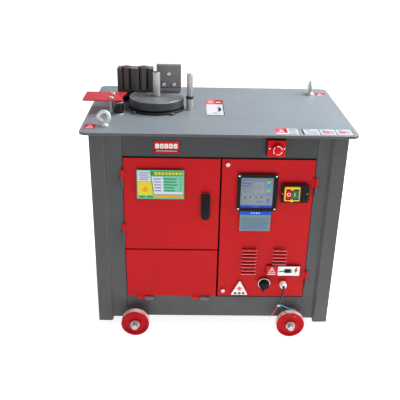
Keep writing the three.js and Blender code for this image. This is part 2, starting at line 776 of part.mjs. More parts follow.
function buildDoors() {
  const doors = group(machine);
  const hinged = join(doorPan(UPPER_DOOR.x, UPPER_DOOR.z), ...doorHinges(UPPER_HINGES, HINGE.x[0], 1));
  piece(doors, "upper_door", "red", hinged);
  piece(doors, "latch_plate", "black", latchPlate(), [LATCH.x, 0, LATCH.top]);
  const lever = upright(tongue(24, 72), [-274.5, -268.8]);
  piece(doors, "latch_lever", "black", lever, [LATCH.x, 0, LATCH.top - 22]);
  piece(doors, "lower_flap", "red", lowerFlap());

  piece(doors, "control_door", "red", controlDoor());
  piece(doors, "controller", "black", controllerBody(), [middle(CONTROLLER.x), 0, middle(CONTROLLER.z)]);
  piece(doors, "switch_housing", "black", switchHousing());
  const { width, height, stop, start, z: buttonZ } = SWITCH.button;
  const button = () =>
    slab([-width / 2, width / 2], [-282.5, -271.5], [-height / 2, height / 2]);
  piece(doors, "stop_button", "red", button(), [stop, 0, buttonZ]);
  piece(doors, "start_button", "green", button(), [start, 0, buttonZ]);
  piece(doors, "selector_knob", "black", knob(), [KNOB.x, face, KNOB.z]);
  piece(doors, "cable_gland", "white", cableGland(), [GLAND.x, face, GLAND.z]);
  piece(doors, "power_cord", "rubber", cable(cordRoute(), JACKET.radius, 12));
  piece(doors, "red_core", "red", cable(CORES.red_core, CORE_RADIUS, 8));
  piece(doors, "blue_core", "blue", cable(CORES.blue_core, CORE_RADIUS, 10));
  piece(doors, "green_core", "green", cable(CORES.green_core, CORE_RADIUS, 10));
}

function buildFrameControls() {
  const at = [192.5, -FRAME.face - GAP, 748];
  const [aside, below] = [2.3, -1.5]; // of the mushroom from the box's middle
  const bore = alongY(rod(8.6, [-26, -6])).translate(aside, 0, below);
  const box = cut(slab([-30, 30], [-24, 0], [-28.5, 28.5]), bore);
  piece(machine, "estop_box", "red", box, at);
  const button = [at[0] + aside, at[1] - 24, at[2] + below];
  piece(machine, "estop_button", "red", emergencyButton(), button);

  const back = FRAME.face - SKIN - GAP;
  const mountingPlate = join(
    slab([60, 300], [back - 14, back - 12], [340, 540]),
    ...[75, 285].flatMap((x) => {
      return [355, 525].map((z) => alongY(rod(6, [back - 13, back], 8)).translate(x, 0, z));
    }),
  );
  piece(machine, "electrical_plate", "steel", mountingPlate);
  const front = back - 14 - GAP;
  const switchgear = join(
    slab([75, 285], [front - 8, front], [425, 460]),
    ...[90, 150, 210].map((x) => slab([x, x + 50], [front - 78, front - 6], [400, 485])),
  );
  piece(machine, "switchgear", "black", switchgear);
}

buildCabinet();
buildRunningGear();
buildDrive();
buildBendingHead();
buildDoors();
buildFrameControls();

export default machine;
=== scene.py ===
"""The looks of the rebar bender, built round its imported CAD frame.

Lengths are written in millimetres from the middle of the table on the floor: +X right, +Y to the
rear, +Z up. emit() turns them into metres in the frame's own place.
"""

import math

import bmesh
import bpy
from mathutils import Matrix, Vector


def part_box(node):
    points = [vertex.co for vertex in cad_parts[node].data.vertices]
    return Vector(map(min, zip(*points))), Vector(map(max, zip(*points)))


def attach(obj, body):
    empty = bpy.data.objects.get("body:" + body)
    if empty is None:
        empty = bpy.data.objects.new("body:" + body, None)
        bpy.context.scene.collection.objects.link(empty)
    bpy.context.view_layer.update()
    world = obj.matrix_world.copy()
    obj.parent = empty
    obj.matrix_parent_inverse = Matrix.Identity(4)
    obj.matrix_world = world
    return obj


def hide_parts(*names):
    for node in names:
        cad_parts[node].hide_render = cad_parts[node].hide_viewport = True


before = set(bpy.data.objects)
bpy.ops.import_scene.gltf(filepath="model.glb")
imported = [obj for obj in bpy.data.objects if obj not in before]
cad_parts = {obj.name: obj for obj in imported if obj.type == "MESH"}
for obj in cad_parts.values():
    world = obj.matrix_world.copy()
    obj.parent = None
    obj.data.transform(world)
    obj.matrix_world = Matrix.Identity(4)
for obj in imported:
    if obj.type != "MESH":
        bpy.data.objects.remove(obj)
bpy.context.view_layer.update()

TAU = 2 * math.pi

# ------------------------------------------------------------------ the frame's measures
TABLE_LOW, TABLE_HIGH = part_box("table_top")
TO_ROW = Matrix.Translation(((TABLE_LOW.x + TABLE_HIGH.x) / 2, 0, 0)) @ Matrix.Scale(0.001, 4)
TO_TABLE = TO_ROW.inverted()


def span(node):
    """A CAD node's extent along X, Y and Z, in millimetres from the table's middle."""
    low, high = (TO_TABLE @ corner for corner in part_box(node))
    return [(low[i], high[i]) for i in range(3)]


def middle(extent):
    return (extent[0] + extent[1]) / 2


def centre(node):
    return [middle(extent) for extent in span(node)]


TABLE_TOP = span("table_top")[2][1]
DOOR_FRONT = span("lower_flap")[1][0]  # the hinge barrels' front, 9 mm ahead of the doors' sheet
FRAME_FACE = -262.0  # the front of the rails and the posts
SPINDLE = Vector(centre("turntable"))
CLEAR = 0.3  # what the CAD leaves between pieces that touch
SEAT = TABLE_TOP + CLEAR  # where a piece stands on the table
DOOR_SEAT = DOOR_FRONT - CLEAR  # where the pieces on the doors start, clear of the sheet


def radius_of(node):
    """Half of a round upright node's width."""
    across = span(node)[0]
    return (across[1] - across[0]) / 2


# ------------------------------------------------------------------ camera
def make_camera():
    """The camera stands a little left of the middle and looks down at the cabinet."""
    pitch, roll, yaw = (math.radians(a) for a in (25.053, 1.212, -1.25))
    across = Vector((math.cos(yaw), math.sin(yaw), 0))
    ahead = Vector((-math.sin(yaw), math.cos(yaw), 0))
    rise = Vector((0, 0, 1))
    look = ahead * math.cos(pitch) - rise * math.sin(pitch)
    up = rise * math.cos(pitch) + ahead * math.sin(pitch)
    axes = (
        across * math.cos(roll) + up * math.sin(roll),
        up * math.cos(roll) - across * math.sin(roll),
        -look,
    )
    data = bpy.data.cameras.new("camera")
    data.sensor_width = 36
    data.lens = 55.3
    camera = bpy.data.objects.new("camera", data)
    camera.matrix_world = (
        Matrix.Translation((-0.096, -2.21507, 1.4577)) @ Matrix(axes).transposed().to_4x4()
    )
    bpy.context.scene.collection.objects.link(camera)
    bpy.context.scene.camera = camera


make_camera()


# ------------------------------------------------------------------ procedural materials
def linear(code):
    """A colour such as #c0222a as linear red, green, blue and alpha."""
    parts = [int(code[i : i + 2], 16) / 255 for i in (1, 3, 5)]
    return (*(c / 12.92 if c <= 0.04045 else ((c + 0.055) / 1.055) ** 2.4 for c in parts), 1)


def shade(colour, by):
    """The colour made lighter or darker by a factor."""
    return (*(min(1, c * by) for c in colour[:3]), 1)


class Finish:
    """A node material under construction. Textures lie in the piece's own place, in metres."""

    def __init__(self, name, roughness, metallic=0.0, **sockets):
        self.material = bpy.data.materials.new(name)
        self.material.use_nodes = True
        self.tree = self.material.node_tree
        self.surface = self.tree.nodes["Principled BSDF"]
        self.surface.inputs["Roughness"].default_value = roughness
        self.surface.inputs["Metallic"].default_value = metallic
        for socket, value in sockets.items():
            self.surface.inputs[socket.replace("_", " ")].default_value = value
        self.place = self.node("ShaderNodeTexCoord").outputs["Object"]
        self.relief = None

    def node(self, kind, inputs=(), **settings):
        made = self.tree.nodes.new(kind)
        for key, value in settings.items():
            setattr(made, key, value)
        for key, value in dict(inputs).items():
            if isinstance(value, bpy.types.NodeSocket):
                self.tree.links.new(value, made.inputs[key])
            else:
                made.inputs[key].default_value = value
        return made

    def stretched(self, scale):
        """The piece's place with each axis multiplied, for streaks along the axis kept small."""
        return self.node("ShaderNodeMapping", {"Vector": self.place, "Scale": scale}).outputs[0]

    def noise(self, scale, detail=3.0, rough=0.55, place=None):
        inputs = {"Vector": place or self.place, "Scale": scale, "Detail": detail, "Roughness": rough}
        return self.node("ShaderNodeTexNoise", inputs).outputs[0]

    def cells(self, scale, place=None):
        inputs = {"Vector": place or self.place, "Scale": scale}
        return self.node("ShaderNodeTexVoronoi", inputs).outputs["Distance"]

    def limits(self, value, low, high, to_low=0.0, to_high=1.0):
        inputs = {0: value, 1: low, 2: high, 3: to_low, 4: to_high}
        return self.node("ShaderNodeMapRange", inputs).outputs[0]

    def maths(self, operation, first, second=0.0):
        return self.node("ShaderNodeMath", {0: first, 1: second}, operation=operation).outputs[0]

    def axis(self, letter, place=None):
        parts = self.node("ShaderNodeSeparateXYZ", {0: place or self.place})
        return parts.outputs[letter]

    def radius(self, x, y):
        """The distance from a vertical line through the point x, y in metres."""
        across = self.maths("SUBTRACT", self.axis("X"), x)
        along = self.maths("SUBTRACT", self.axis("Y"), y)
        squares = (self.maths("MULTIPLY", side, side) for side in (across, along))
        return self.maths("SQRT", self.maths("ADD", *squares))

    def mix(self, share, first, second):
        inputs = {0: share, 6: first, 7: second}
        return self.node("ShaderNodeMix", inputs, data_type="RGBA").outputs[2]

    def bump(self, height, distance, strength=1.0):
        inputs = {"Height": height, "Distance": distance, "Strength": strength}
        if self.relief:
            inputs["Normal"] = self.relief
        self.relief = self.node("ShaderNodeBump", inputs).outputs[0]

    def done(self, colour, roughness=None):
        links = {"Base Color": colour, "Roughness": roughness, "Normal": self.relief}
        for socket, value in links.items():
            if value is not None:
                self.tree.links.new(value, self.surface.inputs[socket])
        return self.material


def mottle(f, colour, tint):
    """The colour with soft cloudy variation, in large and small patches."""
    large = f.noise(5, 3)
    small = f.noise(45, 4, 0.6)
    both = f.maths("ADD", f.maths("MULTIPLY", large, 0.6), f.maths("MULTIPLY", small, 0.4))
    return f.mix(f.limits(both, 0.35, 0.65), shade(colour, 1 - tint), shade(colour, 1 + tint))


def uneven(f, roughness, by):
    """Roughness that wanders, as handling and polish leave it."""
    return f.limits(f.noise(22, 5, 0.65), 0.3, 0.7, roughness - by, roughness + by)


def painted(name, code, roughness, peel=0.00012, tint=0.06, dust=0.0, chips=None, coat=0.0, shine=0.5):
    """Paint with orange peel, patchy gloss, dust that gathers low down, and chips at worn edges."""
    f = Finish(name, roughness, Coat_Weight=coat, Coat_Roughness=0.12, Specular_IOR_Level=shine)
    colour = mottle(f, linear(code), tint)
    gloss = uneven(f, roughness, 0.07)
    f.bump(f.noise(420, 2, 0.5), peel)
    f.bump(f.noise(14, 2, 0.5), 0.0012, 0.5)
    if dust:
        low = f.limits(f.axis("Z"), 0.02, 0.42, 1.0, 0.0)
        film = f.maths("MULTIPLY", low, f.limits(f.noise(9, 6, 0.7), 0.35, 0.75))
        share = f.maths("MULTIPLY", film, dust)
        colour = f.mix(share, colour, linear("#8d877f"))
    if chips:
        chip_code, share = chips
        worn = f.limits(f.noise(95, 6, 0.7), share, share - 0.05)
        colour = f.mix(worn, colour, linear(chip_code))
    return f.done(colour, gloss)


def moulded(name, code, roughness, grain=0.00006, tint=0.05, **sockets):
    """Plastic or rubber with a fine moulded grain and slight handling marks."""
    f = Finish(name, roughness, **sockets)
    colour = mottle(f, linear(code), tint)
    f.bump(f.noise(1400, 2, 0.5), grain)
    f.bump(f.noise(60, 3, 0.5), 0.0002, 0.4)
    return f.done(colour, uneven(f, roughness, 0.06))


def brushed(name, code, roughness, lie=(1, 1, 40), stain="#6d5f50", staining=0.25, metallic=0.9):
    """Bright metal with fine tool lines across the axis that lie stretches, and faint stains."""
    f = Finish(name, roughness, metallic)
    base = linear(code)
    lines = f.noise(70, 4, 0.7, f.stretched(lie))
    colour = f.mix(f.limits(lines, 0.3, 0.7), shade(base, 0.78), shade(base, 1.12))
    spots = f.limits(f.noise(38, 6, 0.7), 0.58, 0.78, 0.0, staining)
    colour = f.mix(spots, colour, linear(stain))
    f.bump(lines, 0.00008)
    return f.done(colour, f.limits(lines, 0.25, 0.75, roughness - 0.06, roughness + 0.1))


def cast(name, code, roughness, rust=0.2, grain=0.0006, metallic=0.35):
    """Sand-cast or forged iron: a pitted skin, dark in the pits, with rust bloom."""
    f = Finish(name, roughness, metallic)
    skin = f.noise(160, 6, 0.7)
    base = linear(code)
    colour = f.mix(f.limits(skin, 0.32, 0.68), shade(base, 0.7), shade(base, 1.3))
    bloom = f.limits(f.noise(24, 7, 0.75), 0.56, 0.74, 0.0, rust)
    colour = f.mix(bloom, colour, linear("#6a3a22"))
    f.bump(skin, grain)
    f.bump(f.cells(420), grain / 2)
    return f.done(colour, f.limits(skin, 0.3, 0.7, roughness - 0.1, roughness + 0.12))


def disk_iron():
    """Turned and oil-blackened iron: rings from the tool, a scuffed rim, rust beside the pin."""
    f = Finish("disk_iron", 0.42, 0.3)
    hub = TO_ROW @ SPINDLE
    out = f.radius(hub.x, hub.y)
    rings = f.maths("SINE", f.maths("MULTIPLY", out, 5200.0))
    base = linear("#82878a")
    blotch = f.noise(30, 6, 0.65)
    colour = f.mix(f.limits(blotch, 0.34, 0.66), shade(base, 0.8), shade(base, 1.25))
    scuffs = f.limits(f.noise(60, 5, 0.7), 0.5, 0.72)
    rim = f.maths("MULTIPLY", f.limits(out, 0.093, 0.1005), scuffs)
    colour = f.mix(f.maths("MULTIPLY", rim, 0.6), colour, linear("#a2a5a7"))
    beside = f.radius(hub.x + 0.022, hub.y - 0.003)
    spot = f.maths("MULTIPLY", f.limits(beside, 0.012, 0.003), f.limits(f.noise(150, 4, 0.6), 0.35, 0.6))
    colour = f.mix(f.maths("MULTIPLY", spot, 0.8), colour, linear("#7a3d28"))
    f.bump(rings, 0.00004)
    f.bump(f.noise(240, 4, 0.6), 0.0001)
    return f.done(colour, f.limits(blotch, 0.3, 0.7, 0.34, 0.56))


def forged_iron(name="forged_iron", rust=0.2, code="#404348"):
    """Flame-cut bar: dark scale in upright bands, with rust run down some of them."""
    f = Finish(name, 0.55, 0.2)
    bands = f.noise(34, 5, 0.65, f.stretched((1, 1, 0.06)))
    base = linear(code)
    colour = f.mix(f.limits(bands, 0.34, 0.66), shade(base, 0.55), shade(base, 1.45))
    runs = f.noise(26, 4, 0.6, f.stretched((1.7, 1, 0.05)))
    colour = f.mix(f.limits(runs, 0.55, 0.66, 0.0, rust), colour, linear("#7c4a36"))
    skin = f.noise(300, 5, 0.7)
    f.bump(bands, 0.0006)
    f.bump(skin, 0.0002)
    return f.done(colour, f.limits(skin, 0.3, 0.7, 0.42, 0.66))


def zinc_sheet():
    """Galvanised sheet with its flower pattern."""
    f = Finish("zinc_sheet", 0.38, 0.85)
    flowers = f.node("ShaderNodeTexVoronoi", {"Vector": f.place, "Scale": 90.0})
    tone = f.axis("X", flowers.outputs["Color"])
    colour = f.mix(tone, linear("#9ba1a4"), linear("#c3c8ca"))
    f.bump(tone, 0.00003)
    return f.done(colour, f.limits(tone, 0.0, 1.0, 0.28, 0.48))


def belt_rubber():
    """Fabric-backed rubber: a fine diagonal weave with chalky wear."""
    f = Finish("belt_rubber", 0.78)
    weave = f.cells(1100, place=f.stretched((1, 1, 1.6)))
    wear = f.noise(30, 5, 0.7)
    colour = f.mix(f.limits(wear, 0.4, 0.75, 0.0, 0.6), linear("#1b1b1c"), linear("#48474a"))
    f.bump(weave, 0.0003)
    return f.done(colour, f.limits(wear, 0.3, 0.7, 0.66, 0.88))


def display_film():
    """The controller's printed face under clear film, bluer toward its top."""
    f = Finish("display_film", 0.22, Coat_Weight=0.5, Coat_Roughness=0.08)
    low, high = (z / 1000 for z in span("controller")[2])
    height = f.limits(f.axis("Z"), low, high)
    colour = f.mix(height, linear("#637378"), linear("#6e7f93"))
    colour = f.mix(f.limits(f.noise(18, 4), 0.4, 0.7, 0.0, 0.25), colour, linear("#94a2ae"))
    f.bump(f.noise(900, 2), 0.00003)
    return f.done(colour, uneven(f, 0.25, 0.05))


def lamp(name, code, strength):
    """A small lit lens, its colour mottled."""
    f = Finish(name, 0.25, Emission_Strength=strength, Emission_Color=linear(code))
    colour = mottle(f, linear(code), 0.1)
    f.bump(f.noise(800, 2), 0.00004)
    return f.done(colour, uneven(f, 0.25, 0.05))


def wheel_tread():
    """The wheel's running band, worn through its paint and painted near white as a highlight on the tread.
    """
    f = Finish("wheel_tread", 0.4)
    wear = f.noise(42, 6, 0.7)
    colour = f.mix(f.limits(wear, 0.42, 0.6), linear("#f6ecec"), linear("#e2a4a8"))
    f.bump(wear, 0.0002)
    return f.done(colour, f.limits(wear, 0.3, 0.7, 0.28, 0.5))


# Printing inks: the colour and how matt it is.
INKS = {
    "white": ("#eef0ee", 0.32),
    "pale": ("#cfd2d6", 0.32),
    "lilac": ("#d9d9ea", 0.32),
    "red": ("#d0141f", 0.34),
    "pink": ("#e45a6e", 0.34),
    "black": ("#16181a", 0.36),
    "green": ("#139a52", 0.34),
    "mint": ("#7fc4ab", 0.34),
    "yellow": ("#e0cc32", 0.34),
    "amber": ("#dca42a", 0.34),
    "blue": ("#1d4fc4", 0.32),
    "sky": ("#5f78a6", 0.32),
    "sage": ("#71898a", 0.34),
}

for plain in bpy.data.materials:  # the frame's own materials leave their names free
    plain.name = "plain_" + plain.name

MATERIALS = {
    m.name: m
    for m in (
        painted("table_paint", "#8b949c", 0.36, tint=0.05),
        painted("table_edge", "#8d9295", 0.38, tint=0.1, chips=("#85878a", 0.42)),
        # A darker copy of the table paint: painted shade on the table's sides and underside.
        painted("table_side_painted_shade", "#55565a", 0.45, tint=0.08, shine=0.3),
        painted("frame_paint", "#4b4d4f", 0.46, peel=0.0002, tint=0.06, dust=0.2, shine=0.3),
        painted("frame_edge", "#5d6062", 0.44, peel=0.0002, tint=0.1, chips=("#7b7a77", 0.4), shine=0.3),
        # A darker copy of frame_paint: painted shade on the top rail under the table's overhang.
        painted("rail_paint", "#414345", 0.48, peel=0.0002, tint=0.06, shine=0.25),
        painted("rail_edge", "#4e5052", 0.46, peel=0.0002, tint=0.1, chips=("#7b7a77", 0.4), shine=0.3),
        painted("red_paint", "#be0a12", 0.36, tint=0.05, dust=0.03, shine=0.14),
        # Lighter than red_paint: a painted highlight on rounded edges and the doors' top returns, with
        # chips of wear.
        painted("red_edge", "#e0303a", 0.36, tint=0.08, chips=("#e07a7a", 0.4), shine=0.2),
        # A pale pink: a painted highlight along the louvres' mouths.
        painted("red_lip_painted_highlight", "#ec9aa2", 0.34, tint=0.1, shine=0.4),
        painted("wheel_red", "#b80612", 0.36, tint=0.12, chips=("#8c141c", 0.4), shine=0.12),
        painted("motor_paint", "#3f5668", 0.42, peel=0.0003, tint=0.1, dust=0.25),
        painted("black_steel", "#15171a", 0.24, tint=0.2, coat=0.3, shine=0.35),
        painted("hinge_steel", "#666c71", 0.4, tint=0.15, shine=0.4),
        # Near black: painted shade in and behind the door gaps.
        painted("door_seal", "#0c0d0e", 0.7, tint=0.1, shine=0.1),
        # A lighter, pinker copy of the red paint: painted sheen on the gauge plate's top.
        painted("gauge_red_painted_sheen", "#d63a48", 0.32, tint=0.06, shine=0.5),
        cast("cast_iron", "#232527", 0.55, rust=0.1),
        cast("cast_grey", "#5d6468", 0.6, rust=0.1, metallic=0.1),
        brushed("bright_steel", "#cfcac4", 0.34, metallic=0.7),
        brushed("pin_steel", "#cfd0d2", 0.34, lie=(3, 3, 0.2), staining=0.2, metallic=0.6),
        brushed("turned_steel", "#c3bfba", 0.28, lie=(1, 1, 1), staining=0.1),
        brushed("chrome", "#e2e5e8", 0.16, lie=(1, 1, 3), staining=0.06, metallic=1.0),
        brushed("zinc_plate", "#e6eaea", 0.34, lie=(1, 1, 1), stain="#8fa09c", staining=0.3, metallic=0.5),
        brushed("axle_steel", "#b9bdbf", 0.4, lie=(1, 1, 1), stain="#5d5350", staining=0.7, metallic=0.5),
        brushed("bronze", "#b08042", 0.34, lie=(30, 1, 1), stain="#6b4a26"),
        brushed("gold_copper", "#c9963c", 0.34, lie=(1, 1, 1), stain="#8a5a32", metallic=0.6),
        disk_iron(),
        cast("disk_side", "#47494d", 0.5, rust=0.05, grain=0.0002, metallic=0.2),
        forged_iron(),
        forged_iron("roller_iron", 0.85, "#59514f"),
        brushed("fence_top", "#85848a", 0.5, lie=(2, 30, 2), staining=0.4, metallic=0.2),
        brushed("roller_top", "#5c5453", 0.5, lie=(2, 2, 2), staining=0.4, metallic=0.2),
        cast("plate_iron", "#807c80", 0.5, rust=0.12, grain=0.0003, metallic=0.15),
        brushed("plate_edge", "#a19f9c", 0.45, lie=(2, 30, 2), staining=0.3, metallic=0.3),
        zinc_sheet(),
        belt_rubber(),
        display_film(),
        wheel_tread(),
        moulded("black_plastic", "#0e1012", 0.45, Specular_IOR_Level=0.14),
        moulded("grey_plastic", "#6f7577", 0.5),
        moulded("red_plastic", "#cf0810", 0.34, Specular_IOR_Level=0.12),
        moulded("green_plastic", "#0d6a34", 0.3, Specular_IOR_Level=0.35),
        moulded("yellow_plastic", "#f0bd0c", 0.36, Specular_IOR_Level=0.4),
        moulded("white_plastic", "#f5f5f3", 0.4),
        moulded("cord_jacket", "#252a2f", 0.55, grain=0.0001),
        moulded("core_red", "#e0506a", 0.4),
        moulded("core_blue", "#45b4dc", 0.4),
        moulded("core_green", "#1f3a30", 0.42),
        *(
            moulded("print_" + ink, code, matt, grain=0.00003, Specular_IOR_Level=0.15)
            for ink, (code, matt) in INKS.items()
        ),
        lamp("lamp_green", "#2fc25c", 0.35),
        lamp("lamp_blue", "#3a5fe0", 0.35),
        lamp("lamp_digit", "#b9aaa2", 0.1),
    )
}


# ------------------------------------------------------------------ shapes, in millimetres
def polar(radius, angle):
    return (radius * math.cos(angle), radius * math.sin(angle))


def circle(x, y, radius, steps=32):
    return [(x + dx, y + dy) for dx, dy in (polar(radius, TAU * i / steps) for i in range(steps))]


def rounded(x, y, corner, steps=6):
    """A rectangle with round corners, from its extent along both axes."""
    points = []
    for quarter, (cx, cy) in enumerate(((x[1], y[1]), (x[0], y[1]), (x[0], y[0]), (x[1], y[0]))):
        px = cx - corner if cx == x[1] else cx + corner
        py = cy - corner if cy == y[1] else cy + corner
        for step in range(steps + 1):
            dx, dy = polar(corner, math.pi / 2 * (quarter + step / steps))
            points.append((px + dx, py + dy))
    return points


def rectangle(x, y):
    return [(x[0], y[0]), (x[1], y[0]), (x[1], y[1]), (x[0], y[1])]


def tongue(x, width, top, length, steps=16):
    """An outline with a flat top and a half-round foot, as seen from the front."""
    half = width / 2
    foot = [polar(half, math.pi + math.pi * i / steps) for i in range(steps + 1)]
    return [(x + half, top), (x - half, top)] + [(x + dx, top - length + half + dz) for dx, dz in foot]


def brick(x, y, z):
    """A box from its extent along each axis."""
    bm = bmesh.new()
    bmesh.ops.create_cube(bm, size=1)
    for vert in bm.verts:
        vert.co = [middle(e) + c * abs(e[1] - e[0]) for e, c in zip((x, y, z), vert.co)]
    return bm


TURNS = {
    "+Z": Matrix.Identity(4),
    "+X": Matrix.Rotation(math.pi / 2, 4, "Y"),
    "+Y": Matrix.Rotation(-math.pi / 2, 4, "X"),
    "-Y": Matrix.Rotation(math.pi / 2, 4, "X"),
}


def put(bm, at=(0, 0, 0), facing="+Z"):
    """The shape turned from +Z to the way it faces, then moved."""
    bm.transform(Matrix.Translation(at) @ TURNS[facing])
    return bm


def lathe(profile, steps=64, at=(0, 0, 0), facing="+Z", closed=False):
    """A turned shape from (radius, height) points; it closes on the axis, or on itself if closed."""
    bm = bmesh.new()
    rings = []
    for radius, height in profile:
        if radius == 0:
            rings.append([bm.verts.new((0, 0, height))] * steps)
        else:
            spots = (polar(radius, TAU * i / steps) for i in range(steps))
            rings.append([bm.verts.new((x, y, height)) for x, y in spots])
    pairs = list(zip(rings, rings[1:] + rings[:1]))
    for low, high in pairs if closed else pairs[:-1]:
        for i in range(steps):
            corners = [low[i - 1], low[i], high[i], high[i - 1]]
            corners = [v for n, v in enumerate(corners) if v not in corners[:n]]
            if len(corners) > 2:
                bm.faces.new(corners)
    bmesh.ops.recalc_face_normals(bm, faces=bm.faces[:])
    return put(bm, at, facing)


def fillet(profile, radius, steps=3):
    """The profile with each inner corner rounded, by at most half of the shorter side."""
    points = [Vector(p) for p in profile]
    made = [points[0]]
    for before, here, after in zip(points, points[1:], points[2:]):
        reach = min(radius, (before - here).length / 2.2, (after - here).length / 2.2)
        start = here + (before - here).normalized() * reach
        end = here + (after - here).normalized() * reach
        for step in range(steps + 1):
            t = step / steps
            made.append(start * (1 - t) ** 2 + here * 2 * t * (1 - t) + end * t * t)
    return [tuple(p) for p in made + [points[-1]]]


def turned(profile, fold, steps=64, at=(0, 0, 0), facing="+Z", closed=False, fine=3):
    """A turned shape with its inner corners rounded."""
    return lathe(fillet(profile, fold, fine), steps, at, facing, closed)


def whole_faces(bm):
    """Joins the triangles that lie in one plane into whole faces."""
    flat = math.radians(0.5)
    bmesh.ops.dissolve_limit(bm, angle_limit=flat, verts=bm.verts[:], edges=bm.edges[:])
    return bm


def plate(outer, extent, holes=(), at=(0, 0, 0), facing="+Z"):
    """A flat outline with holes, raised from one height to another."""
    bm = bmesh.new()
    edges = []
    for loop in (outer, *holes):
        verts = [bm.verts.new((x, y, extent[0])) for x, y in loop]
        edges += [bm.edges.new((verts[i - 1], verts[i])) for i in range(len(verts))]
    bmesh.ops.triangle_fill(bm, use_beauty=True, edges=edges)
    raised = bmesh.ops.extrude_face_region(bm, geom=bm.faces[:])["geom"]
    top = [v for v in raised if isinstance(v, bmesh.types.BMVert)]
    bmesh.ops.translate(bm, verts=top, vec=(0, 0, extent[1] - extent[0]))
    bmesh.ops.recalc_face_normals(bm, faces=bm.faces[:])
    return put(whole_faces(bm), at, facing)


def upright(outer, extent, holes=()):
    """A plate drawn as seen from the front, from one depth along Y to another."""
    return plate(outer, (-extent[1], -extent[0]), holes, facing="-Y")


def spline(points, steps):
    """Points along the smooth curve through those given, as many per stretch as steps says."""
    knots = [Vector(p) for p in points]
    knots = [2 * knots[0] - knots[1], *knots, 2 * knots[-1] - knots[-2]]
    made = []
    for a, b, c, d in zip(knots, knots[1:], knots[2:], knots[3:]):
        for step in range(steps):
            t = step / steps
            made.append(
                0.5 * (2 * b + (c - a) * t + (2 * a - 5 * b + 4 * c - d) * t * t)
                + 0.5 * (3 * b - a - 3 * c + d) * t**3
            )
    return made + [knots[-2]]


def tube(points, radius, sides=12, closed=False):
    """A round tube along points; radius is a number or one for each point."""
    points = [Vector(p) for p in points]
    count = len(points)
    radii = radius if isinstance(radius, (list, tuple)) else [radius] * count
    bm = bmesh.new()
    rings, side = [], None
    for i, point in enumerate(points):
        after = points[(i + 1) % count] if closed or i + 1 < count else point
        before = points[i - 1] if closed or i else point
        along = (after - before).normalized()
        side = side or along.orthogonal().normalized()
        side = (side - along * side.dot(along)).normalized()
        up = along.cross(side)
        spots = (polar(radii[i], TAU * s / sides) for s in range(sides))
        rings.append([bm.verts.new(point + side * x + up * y) for x, y in spots])
    pairs = list(zip(rings, rings[1:] + rings[:1]))
    for low, high in pairs if closed else pairs[:-1]:
        for i in range(sides):
            bm.faces.new((low[i - 1], low[i], high[i], high[i - 1]))
    if not closed:
        bm.faces.new(rings[0])
        bm.faces.new(rings[-1])
    bmesh.ops.recalc_face_normals(bm, faces=bm.faces[:])
    return bm


def ring(radius, wire, at=(0, 0, 0), facing="+Z", steps=48, sides=16):
    path = [(*polar(radius, TAU * i / steps), 0) for i in range(steps)]
    return put(tube(path, wire, sides, closed=True), at, facing)


def soften(bm, width, segments=2, angle=30, worn=None):
    """Rounds each edge sharper than the angle; `worn` is the material index for the new faces."""
    sharp = [e for e in bm.edges if e.is_manifold and e.calc_face_angle(0) > math.radians(angle)]
    bmesh.ops.bevel(
        bm,
        geom=sharp,
        offset=width,
        segments=segments,
        profile=0.5,
        affect="EDGES",
        clamp_overlap=True,
        material=-1 if worn is None else worn,
    )
    return bm


def slab(x, y, z, fold, segments=2):
    """A box with its edges rounded."""
    return soften(brick(x, y, z), fold, segments)


def paint(bm, index, where=lambda face: True):
    """Gives faces a material by its place in the piece's list."""
    for face in bm.faces:
        if where(face):
            face.material_index = index
    return bm


def gather(*shapes):
    """Several shapes as one, each still a closed body of its own."""
    whole = bmesh.new()
    for bm in shapes:
        part = bpy.data.meshes.new("part")
        bm.to_mesh(part)
        bm.free()
        whole.from_mesh(part)
        bpy.data.meshes.remove(part)
    return whole


SMOOTH_ANGLE = math.radians(40)  # a sharper edge shows as an edge


def emit(name, bm, body, materials, replaces=()):
    """Turns a shape into a piece that rides on a body and stands for CAD nodes."""
    bm.transform(TO_ROW)
    mesh = bpy.data.meshes.new(name)
    bm.to_mesh(mesh)
    bm.free()
    mesh.shade_smooth()
    mesh.set_sharp_from_angle(angle=SMOOTH_ANGLE)
    piece = bpy.data.objects.new(name, mesh)
    bpy.context.scene.collection.objects.link(piece)
    for material in [materials] if isinstance(materials, str) else materials:
        mesh.materials.append(MATERIALS[material])
    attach(piece, body)
    if replaces:
        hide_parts(*([replaces] if isinstance(replaces, str) else replaces))
    return piece


def from_frame(node):
    """A CAD node's shape with its flat faces made whole."""
    bm = bmesh.new()
    bm.from_mesh(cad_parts[node].data)
    bm.transform(TO_TABLE)
    bmesh.ops.remove_doubles(bm, verts=bm.verts[:], dist=0.01)
    return whole_faces(bm)


def screw_head(x, z, front, radius, height):
    """A domed screw head with a crossed slot, on a surface that faces -Y at `front`."""
    dome = fillet([(0, 0), (radius, 0), (radius, height * 0.45), (radius * 0.55, height), (0, height)], 0.4)
    head = lathe(dome, 24, (x, front, z), "-Y")
    top = front - height - 0.02
    slot = radius * 0.62
    cuts = (
        brick((x - slot, x + slot), (top, top + 0.2), (z - 0.45, z + 0.45)),
        brick((x - 0.45, x + 0.45), (top - 0.01, top + 0.19), (z - slot, z + slot)),
    )
    return gather(head, *(paint(c, 1) for c in cuts))


def hexagon_head(radius, height, at, facing="+Z", washer=None):
    """A hexagon bolt head with a chamfered crown, on a washer if it has one."""
    shapes = []
    base = 0.0
    if washer:
        shapes.append(turned([(0, 0), (washer, 0), (washer, 1.8), (0, 1.8)], 0.5, 36, at, facing))
        base = 1.8
    head = soften(plate(circle(0, 0, radius, 6), (base, base + height)), radius * 0.09, 2)
    shapes.append(put(head, at, facing))
    crown = [(0, base + height), (radius * 0.8, base + height), (radius * 0.72, base + height + 0.5)]
    shapes.append(lathe(crown + [(0, base + height + 0.5)], 30, at, facing))
    return gather(*shapes)


